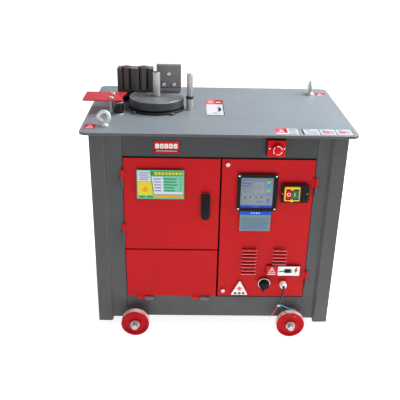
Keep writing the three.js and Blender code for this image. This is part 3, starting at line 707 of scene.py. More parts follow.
# ------------------------------------------------------------------ cord
JACKET_RADIUS = 3.75
CORE_RADIUS = 1.3
BEND = 30.0
SLANT = 0.33  # of the hanging cord, toward the left
CORD_EXIT = (255.5, -290.7, 209.0)
JACKET_END = (238.5, -313.0, 143.0)
CORES = {
    "red_core": [
        (237.2, -313, 140.6), (233, -313.3, 127), (227, -313.4, 113), (220.5, -313, 101),
        (214, -312, 90),
    ],
    "blue_core": [
        (242.2, -311, 141), (254, -306.5, 134), (268, -301.5, 124), (285, -297, 114),
        (301, -295, 108.8),
    ],
    "green_core": [
        (239.6, -316.4, 138.8), (249, -320, 128), (261, -322.4, 118), (277, -323.4, 108),
        (297, -323.4, 98),
    ],
}


MATERIAL_OF = {
    "power_cord": "cord_jacket",
    "red_core": "core_red",
    "blue_core": "core_blue",
    "green_core": "core_green",
}


def cord_route():
    """The cord leaves the gland straight, bends down under its own weight and hangs."""
    x, y, z = CORD_EXIT
    route = []
    for step in range(5):
        along, drop = polar(BEND, step * math.pi / 8)[1], BEND - polar(BEND, step * math.pi / 8)[0]
        route.append((x - SLANT * drop, y - along, z - drop))
    return [*route, (243.3, -320.3, 167), (240.8, -317.4, 154.5), JACKET_END]


def free_cord(name, points, radius):
    """One hanging cord with a cut end, as a tube along its route."""
    route = spline(points, 5)
    cover = MATERIAL_OF[name]
    piece = emit(name + "_run", tube(route, radius, 16), "control_door", cover, name)


def stripped_end(name, points):
    """The few millimetres of twisted copper beyond a core's insulation."""
    end = Vector(points[-1])
    along = (end - Vector(points[-2])).normalized()
    strands = [
        tube(
            [end + along * 0.1 + off * 0.6, end + along * 4 + off * 0.5, end + along * 7 + off * 0.6],
            0.55, 8,
        )
        for off in (along.orthogonal(), -along.orthogonal(), along.cross(along.orthogonal()))
    ]
    return emit(name, gather(*strands), "control_door", "gold_copper")


def build_cord():
    x, y, z = JACKET_END
    stump = [(x, y, z), (x - 0.2, y - 0.6, z - 3.4), (x - 0.3, y - 1.8, z - 8)]
    strand = [(x + 1.6, y + 0.6, z - 0.4), (x + 4.6, y - 1.6, z - 4.4), (x + 7.4, y - 2.4, z - 10.4)]
    filler = gather(tube(stump, [3.6, 3.6, 2.2], 14), tube(spline(strand, 4), 1.5, 10))
    filler_piece = emit("cord_filler", filler, "control_door", "white_plastic")
    free_cord("power_cord", cord_route(), JACKET_RADIUS)
    for name, points in CORES.items():
        tip = stripped_end(name.replace("core", "strands"), points)
        free_cord(name, points, CORE_RADIUS)
    build_gland()


def fluting(count, bar, fold, at):
    """Bars along the axis of a turned piece that faces -Y, evenly spaced round it."""
    made = []
    for i in range(count):
        flute = soften(brick(*bar), fold)
        flute.transform(Matrix.Rotation(TAU * i / count, 4, "Z"))
        made.append(put(flute, at, "-Y"))
    return made


def build_gland():
    """Nylon gland: hexagon foot, ribbed dome nut and the soft seal round the cord."""
    x, _, z = centre("cable_gland")
    front = DOOR_SEAT
    foot = put(soften(plate(circle(0, 0, 14.4, 6), (0, 6)), 0.8), (x, front, z), "-Y")
    dome = [(0, 5.8), (12.6, 5.8), (12.6, 14), (11.4, 17.5), (8.6, 21.5), (6.9, 23.8), (4.6, 23.8)]
    nut = turned([*dome, (4.6, 19), (0, 19)], 1.6, 48, (x, front, z), "-Y", fine=4)
    ribs = fluting(16, ((-0.7, 0.7), (11.9, 13.1), (7, 14)), 0.3, (x, front, z))
    lip = [(3.9, 18.5), (5.4, 18.5), (5.4, 24.3), (3.9, 24.3), (3.9, 18.5)]
    seal = turned(lip, 0.4, 32, (x, front, z), "-Y", closed=True)
    body = gather(foot, nut, *ribs)
    emit("gland", body, "control_door", "white_plastic", "cable_gland")
    emit("gland_seal", seal, "control_door", "black_plastic")


# ------------------------------------------------------------------ sheet metal of the frame
# node: (body, paint, radius of the folded edges)
SHEETS = {
    "front_left_post": ("cabinet", "frame", 1.1),
    "front_right_post": ("cabinet", "frame", 1.1),
    "rear_left_post": ("cabinet", "frame", 1.1),
    "rear_right_post": ("cabinet", "frame", 1.1),
    # The top rail takes the darker rail paint: painted shade under the table's overhang.
    "front_top_rail": ("cabinet", "rail", 0.7),
    "front_bottom_rail": ("cabinet", "frame", 0.7),
    "door_mullion": ("cabinet", "frame", 0.9),
    "left_side_panel": ("cabinet", "frame", 0.7),
    "right_side_panel": ("cabinet", "frame", 0.7),
    "rear_panel": ("cabinet", "frame", 0.5),
    "floor_pan": ("cabinet", "frame", 0.5),
    "partition": ("cabinet", "frame", 0.4),
    "upper_door": ("upper_door", "red", 0.8),
    "lower_flap": ("lower_flap", "red", 0.8),
    "control_door": ("control_door", "red", 0.8),
}


def paint_sheet(bm, node, paint_name):
    """Steel hinge barrels, a painted highlight on the doors' top returns, and painted black shade on the
    faces behind the door gaps.
    """
    if paint_name == "red":
        # The doors' up-facing top returns take the lighter edge red: a painted highlight.
        paint(bm, 1, lambda face: face.normal.z > 0.7)
        return []
    if node == "front_bottom_rail":
        paint(bm, 2, lambda face: face.calc_center_median().y < FRAME_FACE - 1.5)
    # Faces behind the door gaps, on the mullion and the front posts and rails, are painted black as shade.
    if node == "door_mullion":
        paint(bm, 3, lambda face: face.normal.y < -0.3)
    if node.startswith("front"):
        paint(bm, 3, lambda face: face.normal.y < -0.3 and face.calc_center_median().y > FRAME_FACE + 3)
    return ["hinge_steel", "door_seal"]


FLAT_AREA = 2e-5  # square metres; larger faces are flat sheet, smaller ones are its rounded folds


def build_sheets():
    for node, (body, paint_name, fold) in SHEETS.items():
        bm = soften(from_frame(node), fold, 3, 35, worn=1)
        materials = [paint_name + "_paint", paint_name + "_edge", *paint_sheet(bm, node, paint_name)]
        piece = emit(node + "_sheet", bm, body, materials, node)
        for face in piece.data.polygons:
            face.use_smooth = face.area < FLAT_AREA


def build_seals():
    """Black strips on the frame's face above and below the doors: painted shade for the gaps there."""
    face = (FRAME_FACE - 0.9, FRAME_FACE + 0.05)
    top = span("upper_door")[2][1]
    low = span("control_door")[2][0]
    strips = [
        slab((-327, 336), face, (top + 1.2, top + 5.4), 0.3),
        slab((14, 334), face, (low - 4.6, low - 1.2), 0.3),
    ]
    emit("gap_shade_strips", gather(*strips), "cabinet", "door_seal")


def scoop(x, low, high, face, out):
    """A pressed louvre hood, its mouth along its lower edge. `out` is the depth, signed along Y."""
    bm = bmesh.new()
    across, around = 20, 7
    mouth = []
    for skin in (0.0, 0.9):
        grid = []
        for i in range(across + 1):
            u = i / across
            end = min(u, 1 - u) * (x[1] - x[0]) / 4.0
            swell = math.sqrt(max(0.0, 1 - (1 - min(1, end)) ** 2))
            column = []
            for j in range(around + 1):
                angle = math.pi / 2 * j / around
                depth = (abs(out) - skin) * math.sin(angle) * swell
                height = low + (high - skin - low) * (math.cos(angle) * swell + (1 - swell) * 0.1)
                column.append(
                    bm.verts.new((x[0] + u * (x[1] - x[0]), face + math.copysign(depth, out), height))
                )
            grid.append(column)
        mouth = mouth or [column[-1].co.copy() for column in grid]
        for left, right in zip(grid, grid[1:]):
            for j in range(around):
                bm.faces.new((left[j], right[j], right[j + 1], left[j + 1]))
    bmesh.ops.bridge_loops(bm, edges=[e for e in bm.edges if e.is_boundary])
    bmesh.ops.recalc_face_normals(bm, faces=bm.faces[:])
    # The bead along the mouth takes the second material: a painted highlight.
    return gather(bm, paint(tube(mouth, 1.0, 8), 1))


def louvres(name, body, materials, x, heights, face, out):
    hoods = [scoop(x, low, high, face, out) for low, high in heights]
    emit(name, gather(*hoods), body, materials)


def courses(low, height, pitch):
    """The heights of eight louvres, one above another."""
    return [(low + pitch * row, low + height + pitch * row) for row in range(8)]


def build_louvres():
    rows = courses(250.6, 7, 14.2)
    # The lips' pale pink is a painted highlight.
    reds = ["red_paint", "red_lip_painted_highlight"]
    louvres("left_louvres", "control_door", reds, (96, 151), rows, DOOR_FRONT + 0.2, -4.0)
    louvres("right_louvres", "control_door", reds, (210, 261), rows[3:], DOOR_FRONT + 0.2, -4.0)
    rear = courses(559.5, 10, 18)
    # The rear lips take the lighter frame_edge: a painted highlight too.
    greys = ["frame_paint", "frame_edge"]
    for side, x in (("left", -170), ("right", 170)):
        louvres("rear_" + side + "_louvres", "cabinet", greys, (x - 47, x + 47), rear, 261.8, 6.5)


# ------------------------------------------------------------------ table
def build_table():
    x, y, z = span("table_top")
    spindle_hole, socket, corner = 66, 9.6, 25  # radii
    holes = [circle(SPINDLE.x, SPINDLE.y, spindle_hole, 64), circle(*centre("spare_pin")[:2], socket)]
    bm = soften(plate(rounded(x, y, corner, 14), z, holes), 1.6, 4, 40, worn=1)
    # Faces that don't face up take the darker copy of the table paint: painted shade.
    paint(bm, 2, lambda face: face.normal.z < 0.3)
    materials = ["table_paint", "table_edge", "table_side_painted_shade"]
    emit("table_plate", bm, "cabinet", materials, "table_top")


# ------------------------------------------------------------------ running gear
WHEEL_HALF = 15.0
AXLE_RADIUS = 11.0
WHEEL_MIDDLE = 303.0


def wheel_profile(radius):
    """Outer side first: rim with a raised ring, recessed web, hub; then the tread between flanges."""
    half, bore = WHEEL_HALF, AXLE_RADIUS + 0.6
    return fillet(
        [
            (bore, half), (18.5, half), (20.5, half - 5.5), (40, half - 5.5), (42.5, half - 1.6),
            (45, half), (radius - 1.8, half), (radius, half - 1.8), (radius, half - 4),
            (radius - 0.7, half - 4.6), (radius - 0.7, 4.6 - half), (radius, 4 - half),
            (radius, 2 - half), (radius - 2, -half), (44, -half), (41, 6 - half), (20.5, 6 - half),
            (18.5, -half), (bore, -half), (bore, half),
        ],
        1.6,
        3,
    )


def build_wheels():
    for place in ("front_left", "front_right", "rear_left", "rear_right"):
        node = place + "_wheel"
        x, y, z = centre(node)
        radius = radius_of(node)
        facing = "-Y" if y < 0 else "+Y"
        bm = lathe(wheel_profile(radius), 96, (x, y, z), facing, closed=True)
        for face in bm.faces:
            spot = face.calc_center_median()
            outside = math.hypot(spot.x - x, spot.z - z) > radius - 1.2
            # The band between the flanges takes wheel_tread: wear, and a painted highlight.
            face.material_index = int(outside and abs(spot.y - y) < WHEEL_HALF - 4.3)
        emit(node + "_casting", bm, node, ["wheel_red", "wheel_tread"], node)
    for side in ("left", "right"):
        build_axle(side + "_axle")


def build_axle(node):
    """Axle bar with a washer, a collar and a split pin at each wheel."""
    x, _, z = centre(node)
    tip = span(node)[1][1]
    r = AXLE_RADIUS
    bar = [(0, -tip), (r - 1.6, -tip), (r, 1.6 - tip), (r, tip - 1.6), (r - 1.6, tip), (0, tip)]
    shapes = [turned(bar, 0.8, 48, (x, 0, z), "+Y")]
    outer = WHEEL_MIDDLE + WHEEL_HALF + 0.6
    inner = WHEEL_MIDDLE - WHEEL_HALF - 0.5
    for end, facing in ((-1, "-Y"), (1, "+Y")):
        for radius, near, thick in ((17, outer, 3.4), (16, inner - 5, 5)):
            washer = fillet([(r, 0), (radius, 0), (radius, thick), (r, thick), (r, 0)], 0.7)
            shapes.append(lathe(washer, 48, (x, end * near, z), facing, closed=True))
        pin = end * (tip - 8)
        legs = [
            (x - r - 3, pin, z - 0.6), (x, pin, z), (x + r + 1.5, pin, z + 0.2),
            (x + r + 3.5, pin - end, z + 1.6),
        ]
        shapes.append(tube(spline(legs, 4), 1.1, 10))
        shapes.append(ring(1.9, 0.9, (x - r - 3.6, pin, z - 0.8), "-Y", 20, 8))
    emit(node + "_bar", gather(*shapes), "cabinet", "axle_steel", node)


# ------------------------------------------------------------------ bending head
HUB = (SPINDLE.x, SPINDLE.y, 0)  # on the floor under the disk's middle


def build_disk():
    radius = radius_of("turntable")
    low, top = span("turntable")[2]
    bore, depth = 12.5, 26  # of the pin's socket
    profile = [
        (0, low), (radius - 2, low), (radius, low + 2), (radius, low + 8),
        (radius - 0.5, low + 8.4), (radius, low + 8.8), (radius, top - 2.6), (radius - 2.6, top),
        (radius - 7, top), (radius - 7.4, top - 0.7), (radius - 8.4, top - 0.7),
        (radius - 8.8, top), (bore + 1.5, top), (bore, top - 1.5), (bore, top - depth),
        (0, top - depth),
    ]
    bm = turned(profile, 0.6, 144, HUB, fine=2)
    paint(bm, 1, lambda face: face.calc_center_median().z < top - 2.2)
    emit("bending_disk", bm, "turntable", ["disk_iron", "disk_side"], "turntable")
    r = radius_of("output_shaft")
    low, top = span("output_shaft")[2]
    bar = turned([(0, low), (r, low), (r, top - 1), (r - 1, top), (0, top)], 1, 64, HUB)
    emit("spindle_bar", bar, "turntable", "turned_steel", "output_shaft")


def build_pins():
    x, y, _ = centre("mandrel_pin")
    low, high = span("mandrel_pin")[2]
    top = span("turntable")[2][1] + 0.3
    shank, r = 11.9, 13.3  # in the disk, and above it
    foot = [(0, low), (shank - 0.5, low), (shank, low + 0.6), (shank, top), (r, top)]
    groove = [(r, high - 9), (12.9, high - 8.4), (r, high - 7.8)]
    end = [(r, high - 1.8), (11.5, high), (2.2, high), (1.6, high - 1.2), (0, high - 1.4)]
    profile = [*foot, *groove, *end]
    bm = turned(profile, 0.5, 64, (x, y, 0), fine=2)
    paint(bm, 1, lambda face: face.normal.z > 0.7)
    emit("mandrel", bm, "mandrel_pin", ["pin_steel", "roller_top"], "mandrel_pin")

    x, y, _ = centre("spare_pin")
    low, high = span("spare_pin")[2]
    ring_low, ring_high = 842.7, 851.7  # the black ring between the foot and the stem
    below, above = ring_low - 0.1, ring_high + 0.1
    foot = [(0, low), (8.4, low), (9, low + 0.6), (9, SEAT), (12, SEAT), (12, below), (0, below)]
    neck = [(0, above), (10.75, above), (10.75, high - 8), (10.35, high - 7.4), (10.75, high - 6.8)]
    stem = neck + [(10.75, high - 1.5), (9.2, high), (0, high)]
    edge = [(13.2, ring_low), (13.8, ring_low + 0.7), (13.8, ring_high - 0.7), (13.2, ring_high)]
    collar = [(0, ring_low), *edge, (0, ring_high)]
    bright = gather(*(turned(p, 0.4, 56, (x, y, 0), fine=2) for p in (foot, stem)))
    black = paint(turned(collar, 0.3, 56, (x, y, 0), fine=2), 1)
    emit(
        "spare_pin_bar", gather(bright, black), "spare_pin", ["bright_steel", "black_steel"],
        "spare_pin",
    )


def build_bearing():
    """The flange round the disk, with a stepped rim and hexagon bolts on washers."""
    bore, barrel, flange, bolts = 34, 60, 103, 109  # radii
    low, seat, crown = 764, 800.3, 811.5  # heights
    rim = [(flange, seat), (flange, 805), (flange - 2, 808), (94, 808.8), (92, crown)]
    profile = [(bore, low), (barrel, low), (barrel, seat), *rim, (bore, crown), (bore, low)]
    shapes = [turned(profile, 0.8, 96, HUB, closed=True, fine=2)]
    for degrees in (-135.4, -57, 44.6, 123):
        dx, dy = polar(bolts, math.radians(degrees))
        head = hexagon_head(8, 5.2, (SPINDLE.x + dx, SPINDLE.y + dy, 800.35), washer=10.5)
        shapes.append(paint(head, 1))
    emit(
        "bearing_flange", gather(*shapes), "cabinet", ["cast_iron", "cast_grey"],
        "bearing_housing",
    )


def build_fence():
    """Flame-cut fence: ground tops and softened corners on the blocks, rollers between them."""
    bm = soften(from_frame("fence_body"), 1.1, 3, 35, worn=1)
    high = span("fence_body")[2][1]
    paint(bm, 2, lambda f: f.normal.z > 0.9 and f.calc_center_median().z > high - 20)
    emit(
        "fence_carrier", bm, "cabinet", ["forged_iron", "forged_iron", "fence_top"],
        "fence_body",
    )
    seat = high + 0.5  # the rollers' heads rest over the comb
    for node, stem in (("left_fence_roller", 15), ("right_fence_roller", 16.4)):
        x, y, _ = centre(node)
        radius = radius_of(node)
        low, top = span(node)[2]
        profile = [
            (5.5, low), (stem - 0.8, low), (stem, low + 0.8), (stem, seat), (radius, seat),
            (radius, top - 4), (radius - 2.6, top - 0.8), (radius - 6, top), (0, top),
            (0, seat - 5), (5.5, seat - 5), (5.5, low),
        ]
        bm = turned(profile, 1.2, 64, (x, y, 0))
        paint(bm, 1, lambda f: f.calc_center_median().z > top - 3.6)
        emit(node + "_bar", bm, node, ["roller_iron", "roller_top"], node)


def build_fence_plate():
    x, (_, back), (low, high) = span("fence_plate")
    face = 43.0  # the plate's front, behind the lip at its foot
    bm = soften(brick(x, (face, back), (low, high)), 1.6, 3, 35)
    paint(bm, 1, lambda f: f.normal.z > 0.5)
    lip = slab(x, (40, face + 0.5), (low, low + 13), 1.2, 3)
    # The groove is a black strip a hair proud of the face: painted shade, with no recess cut.
    groove = brick((x[0] + 4, x[1] - 4), (face - 0.25, face + 0.1), (low + 15.5, low + 16.6))
    cap = [(3.4, -1), (6.5, -1), (6.5, 3.2), (5.7, 4), (3.4, 4), (3.4, 1.2), (0, 1.2), (0, -1)]
    places = ((-178, face, 915), (-197, face, 875), (-159, face, 876))
    bolts = [paint(turned(cap, 0.4, 36, place, "-Y", fine=2), 2) for place in places]
    bm = gather(bm, lip, paint(groove, 3), *bolts)
    materials = ["plate_iron", "plate_edge", "chrome", "black_steel"]
    emit("fence_face", bm, "cabinet", materials, "fence_plate")


def build_gauge():
    """Red flame-cut plate on two studs, with its round pillar in front."""
    _, _, (low, high) = span("gauge_plate")
    notch = [(-478, -101), (-334, -101), (-345, -52), (-331, 5), (-478, 5)]
    studs = [centre(n)[:2] for n in ("rear_gauge_stud", "front_gauge_stud")]
    holes = [circle(x, y, 6.2, 28) for x, y in studs]
    bm = soften(plate(notch, (low, high), holes), 1.0, 3, 30, worn=1)
    washer = [(6.2, high - 0.1), (14, high - 0.1), (14, high + 0.2), (6.2, high + 0.2), (6.2, high - 0.1)]
    rings = [paint(lathe(washer, 36, (x, y, 0), closed=True), 2) for x, y in studs]
    # The plate takes the lighter red: painted sheen.
    emit(
        "gauge_blade", gather(bm, *rings), "cabinet", ["gauge_red_painted_sheen", "red_edge", "black_steel"],
        "gauge_plate",
    )
    for node, (x, y) in zip(("rear_gauge_stud", "front_gauge_stud"), studs):
        nut = [(0, SEAT), (9, SEAT), (9, SEAT + 5.8), (8.4, SEAT + 6.4)]
        stem = [*nut, (5, SEAT + 6.4), (5, high + 0.2), (0, high + 0.2)]
        head = [
            (0, high + 0.25), (10, high + 0.25), (10, high + 1.2), (8.4, high + 2.9), (5, high + 3.6),
            (0, high + 3.8),
        ]
        thread = [ring(5.1, 0.45, (x, y, SEAT + 8 + 1.75 * i), steps=24, sides=6) for i in range(22)]
        bm = gather(turned(stem, 0.4, 36, (x, y, 0)), turned(head, 0.8, 36, (x, y, 0)), *thread)
        emit(node + "_bolt", bm, "cabinet", "zinc_plate", node)
    x, y, _ = centre("gauge_pillar")
    top = span("gauge_pillar")[2][1]
    crown = [(18.4, top - 3), (17, top - 1), (13, top), (4, top), (3, top - 2), (0, top - 2)]
    body = [(0, SEAT + 3.6), (18.4, SEAT + 3.6), *crown]
    base = [(0, SEAT), (19, SEAT), (19, SEAT + 2.6), (18, SEAT + 3.5), (0, SEAT + 3.5)]
    rim = ring(16.9, 0.9, (x, y, top - 1.2))
    zinc = [paint(shape, 1) for shape in (turned(base, 0.5, 56, (x, y, 0)), rim)]
    bm = gather(turned(body, 0.8, 56, (x, y, 0)), *zinc)
    emit("gauge_post", bm, "cabinet", ["black_steel", "zinc_plate"], "gauge_pillar")


def build_eyes():
    for node, facing in (("front_eye_bolt", "-Y"), ("rear_eye_bolt", "+X")):
        x, y, _ = centre(node)
        foot = [(0, SEAT), (14.6, SEAT), (15, SEAT + 0.5), (15, SEAT + 5), (13.4, SEAT + 7)]
        collar = [*foot, (10.4, SEAT + 8.5), (8.6, SEAT + 12), (0, SEAT + 12)]
        eye = ring(17.6, 6.9, (x, y, TABLE_TOP + 32), facing, 64, 20)
        bm = gather(turned(collar, 1.4, 48, (x, y, 0), fine=4), eye)
        emit(node + "_forging", bm, "cabinet", "zinc_plate", node)


# ------------------------------------------------------------------ door hardware
def build_latch():
    """Black swing-handle latch with its push button and key barrel."""
    x, _, z = span("latch_plate")
    mid, width = middle(x), x[1] - x[0]
    across = (mid - width / 2, mid + width / 2)
    front = DOOR_SEAT
    plate_bm = soften(upright(tongue(mid, width, z[1], z[1] - z[0]), (front - 2.5, front)), 0.9, 3)
    body = slab(across, (-274, front), (z[1] - 18, z[1]), 1.8, 4)
    barrel = [(0, 0), (5.4, 0), (5.4, 1.2), (4.6, 1.8), (2.2, 1.8), (2.0, 1.3), (0, 1.3)]
    key = paint(turned(barrel, 0.3, 32, (mid, -273.9, z[1] - 9), "-Y"), 1)
    # A chrome strip along the latch's top edge: a painted highlight of that edge.
    strip = paint(slab(across, (-274.2, -268.6), (z[1] - 0.6, z[1] + 0.4), 0.3), 1)
    bm = gather(plate_bm, body, key, strip)
    emit("latch_frame", bm, "upper_door", ["black_plastic", "chrome"], "latch_plate")
    lx, ly, lz = span("latch_lever")
    lid = soften(upright(tongue(middle(lx), lx[1] - lx[0], lz[1], lz[1] - lz[0]), ly), 1.5, 4)
    ribs = [
        slab((middle(lx) - 8, middle(lx) + 8), (ly[0] - 0.5, ly[0] + 0.3), (h, h + 1.2), 0.35)
        for h in (lz[0] + 12 + 3.2 * i for i in range(5))
    ]
    emit("latch_handle", gather(lid, *ribs), "latch_lever", "black_plastic", "latch_lever")


def build_fasteners():
    """Quarter-turn fasteners near the closing edge of the control door."""
    for name, z in (("upper_fastener", 683.5), ("lower_fastener", 175.5)):
        cup = [(0, 0), (7, 0), (7, 1.6), (6, 2.4), (4.4, 2.4), (4, 1.8), (0, 1.8)]
        head = turned(cup, 0.5, 40, (33, DOOR_FRONT - 0.1, z), "-Y")
        # The slot is a black bar on the dish's floor: painted shade for the slot, with no recess cut.
        slot = paint(brick((29.6, 36.4), (DOOR_FRONT - 2.05, DOOR_FRONT - 1.85), (z - 0.6, z + 0.6)), 1)
        emit(name, gather(head, slot), "control_door", ["zinc_plate", "black_steel"])


# ------------------------------------------------------------------ controller
SEGMENTS = {
    "a": ((0.15, 0.85), (0.93, 1.0)),
    "b": ((0.86, 1.0), (0.54, 0.93)),
    "c": ((0.86, 1.0), (0.07, 0.46)),
    "d": ((0.15, 0.85), (0.0, 0.07)),
    "e": ((0.0, 0.14), (0.07, 0.46)),
    "f": ((0.0, 0.14), (0.54, 0.93)),
    "g": ((0.15, 0.85), (0.465, 0.535)),
}
DIGITS = {"0": "abcdef", "4": "bcfg", "5": "acdfg", "9": "abcdfg"}


def digit(figure, x, z, width, height, front):
    bars = []
    for letter in DIGITS[figure]:
        (u0, u1), (v0, v1) = SEGMENTS[letter]
        bars.append(
            brick(
                (x + u0 * width, x + u1 * width), (front - 0.25, front),
                (z + v0 * height, z + v1 * height),
            )
        )
    return bars


def chip(x, z, front, thick=0.3):
    """A thin raised rectangle on a surface that faces -Y."""
    return brick(x, (front - thick, front), z)


def build_controller():
    x, (front, back), z = span("controller")
    window = ((x[0] + 12, x[1] - 14.5), (z[0] + 10.5, z[1] - 13))
    frame_bm = upright(rounded(x, z, 8, 8), (front, DOOR_SEAT), [rounded(*window, 2, 3)])
    soften(frame_bm, 1.3, 3)
    case = slab((x[0] + 7, x[1] - 7), (back, DOOR_FRONT + 3), (z[0] + 7, z[1] - 7), 2, 3)
    ribs = [
        brick((x[0] + 6.6, x[1] - 6.6), (back + 6 + 7 * i, back + 8 + 7 * i), (z[0] + 6.6, z[1] - 6.6))
        for i in range(4)
    ]
    terminals = [
        slab((x[0] + 20 + 12 * i, x[0] + 30 + 12 * i), (back - 0.1, back + 9), (z[0] + 14, z[0] + 26), 0.8)
        for i in range(8)
    ]
    screws = [
        paint(screw_head(cx, cz, front + 0.1, 3.6, 1.8), 1)
        for cx in (x[0] + 6, x[1] - 6)
        for cz in (z[0] + 7.5, z[1] - 7.5)
    ]
    bm = gather(frame_bm, case, *ribs, *(paint(t, 2) for t in terminals), *screws)
    materials = ["black_plastic", "chrome", "grey_plastic"]
    emit("controller_case", bm, "control_door", materials, "controller")
    build_display(window, front + 1.6)


def build_display(window, front):
    """The film face: two rows of figures, four lamps, four keys and plain printed bars."""
    (x0, x1), (z0, z1) = window
    film = slab((x0 + 0.1, x1 - 0.1), (front, front + 4), (z0 + 0.1, z1 - 0.1), 0.4)
    emit("display_face", film, "control_door", "display_film")
    width, height = x1 - x0, z1 - z0

    def column(share):
        return x0 + share * width

    def row(share):
        return z0 + share * height

    figures = []
    for number, level in (("045", 0.75), ("090", 0.50)):
        for i, figure in enumerate(number):
            figures += digit(figure, column(0.45 + 0.095 * i), row(level), 7.0, 11.5, front)
    emit("display_figures", gather(*figures), "control_door", "lamp_digit")
    lamps = {"lamp_green": (0.85, 0.58), "lamp_blue": (0.715, 0.445)}
    for material, levels in lamps.items():
        lens = [
            soften(chip((column(0.81), column(0.90)), (row(v - 0.035), row(v + 0.035)), front, 0.6), 0.3)
            for v in levels
        ]
        emit("display_" + material, gather(*lens), "control_door", material)
    keys = []
    for share, pointing in ((0.15, 1), (0.31, -1), (0.49, 1), (0.66, -1)):
        cx, cz = column(share), row(0.355)
        point = [
            (cx - 2.6, cz - 3.4 * pointing), (cx + 2.6, cz - 3.4 * pointing),
            (cx, cz + 4.4 * pointing),
        ]
        keys.append(upright(point, (front - 0.25, front)))
    emit("display_keys", gather(*keys), "control_door", "print_black")
    bars = [chip((x0 + 0.4, x1 - 0.4), (row(0.0) + 0.4, row(0.0) + 10.4), front)]
    bars += [chip((column(0.07), column(0.30)), (row(v), row(v + 0.022)), front) for v in (0.80, 0.715)]
    bars += [chip((column(0.50), column(0.72)), (row(0.19), row(0.212)), front)]
    bars += [
        chip((column(0.80), column(0.90)), (row(v), row(v + 0.022)), front)
        for v in (0.22, 0.27, 0.16)
    ]
    emit("display_bars", gather(*bars), "control_door", "print_blue")
    pale = [chip((column(0.07), column(0.35)), (row(0.89), row(0.92)), front)]
    pale += [chip((column(0.13), column(0.16)), (row(v), row(v + 0.05)), front) for v in (0.57, 0.64)]
    pale += [
        chip((column(0.40 + 0.05 * i), column(0.43 + 0.05 * i)), (row(0.0) + 3, row(0.0) + 8), front - 0.3)
        for i in range(4)
    ]
    emit("display_pale_bars", gather(*pale), "control_door", "print_sky")


def build_switch():
    """Push-button switch: black housing, yellow frame with its tabs, red and green buttons."""
    x, (front, back), z = span("switch_housing")
    shell_front = -279.0
    fx, fz = (231.5, 286.0), (553.5, 607.0)
    px, pz = (236.3, 283.7), (557.8, 599.7)
    pocket = rounded(px, pz, 2, 3)
    shell = soften(upright(rounded(x, z, 8, 8), (shell_front, DOOR_SEAT), [pocket]), 1.8, 4)
    floor = brick((px[0] - 1, px[1] + 1), (DOOR_FRONT - 3, DOOR_FRONT + 1), (pz[0] - 1, pz[1] + 1))
    case = slab((fx[0] - 3, fx[1] + 3), (back, DOOR_FRONT - 1), (fz[0] - 3, fz[1] + 3), 2, 3)
    screws = [paint(screw_head(cx, 580, shell_front + 0.1, 2.6, 1.0), 1) for cx in (x[0] + 5.5, x[1] - 6)]
    lining = slab((279.2, px[1]), (-281.6, -279), pz, 0.4)
    bm = gather(shell, paint(floor, 2), case, paint(lining, 2), *screws)
    materials = ["black_plastic", "bronze", "grey_plastic"]
    emit("switch_case", bm, "control_door", materials, "switch_housing")
    mid = middle(fx)
    guard = soften(upright(rounded(fx, fz, 4, 5), (front, shell_front + 0.5), [pocket]), 1.2, 3)
    tab = [(mid - 9, fz[0] + 4), (mid - 5, fz[0] - 2.6), (mid + 5, fz[0] - 2.6), (mid + 9, fz[0] + 4)]
    upper = [(mid - 8, pz[1] + 1), (mid - 4, pz[1] - 4), (mid + 4, pz[1] - 4), (mid + 8, pz[1] + 1)]
    lower = [(mid - 6, pz[0] - 1), (mid + 6, pz[0] - 1), (mid + 3, pz[0] + 3.4), (mid - 3, pz[0] + 3.4)]
    tabs = [soften(upright(t, (front - 0.2, shell_front - 0.1)), 0.8, 3) for t in (tab, upper, lower)]
    emit("switch_guard", gather(guard, *tabs), "control_door", "yellow_plastic")
    for node, colour in (("stop_button", "red_plastic"), ("start_button", "green_plastic")):
        bx, by, bz = span(node)
        cx, cz = middle(bx), middle(bz)
        cap = slab(bx, by, bz, 1.4, 3)
        if node == "stop_button":
            mark = put(
                plate(circle(0, 0, 6.4, 36), (0, 0.3), [circle(0, 0, 4.4, 36)]),
                (cx, by[0] + 0.05, cz), "-Y",
            )
        else:
            mark = chip((cx - 1.1, cx + 1.1), (cz - 6.2, cz + 6.2), by[0] + 0.05)
        emit(node + "_cap", gather(cap, paint(mark, 1)), node, [colour, "print_white"], node)


def build_selector():
    """Selector knob: a fluted black dial with a pointed grip, over a bright bezel ring."""
    cx, cz = middle(span("selector_knob")[0]), 209.5
    face = DOOR_SEAT
    bezel = [(16, 0), (22.4, 0), (22.8, 0.8), (22.2, 3), (20.4, 3.6), (20.2, 0.4), (16, 0.4), (16, 0)]
    bezel_bm = turned(bezel, 0.3, 64, (cx, DOOR_FRONT - 0.02, cz), "-Y", closed=True)
    emit("selector_bezel", bezel_bm, "control_door", "zinc_plate")
    dial = [(0, 0.3), (19.6, 0.3), (19.6, 4.2), (18.2, 6.4), (17.2, 15), (15.4, 18), (0, 18.6)]
    body = turned(dial, 1.0, 64, (cx, face, cz), "-Y")
    half = [(6.6, 12), (6.9, 3), (6.0, -8), (3.6, -20), (1.4, -25)]
    outline = half + [(-u, v) for u, v in reversed(half)]
    grip = put(soften(plate(outline, (5, 22)), 1.3, 3), (cx, face, cz), "-Y")
    flutes = fluting(18, ((-1.0, 1.0), (17.4, 18.9), (6, 15)), 0.5, (cx, face, cz))
    stem = lathe([(0, -13), (4.4, -13), (4.4, 1), (0, 1)], 24, (cx, face, cz), "-Y")
    bm = gather(body, grip, *flutes, stem)
    turn = Matrix.Rotation(math.radians(12), 4, "Y")
    bm.transform(Matrix.Translation((cx, 0, cz)) @ turn @ Matrix.Translation((-cx, 0, -cz)))
    emit("selector_dial", bm, "selector_knob", "black_plastic", "selector_knob")


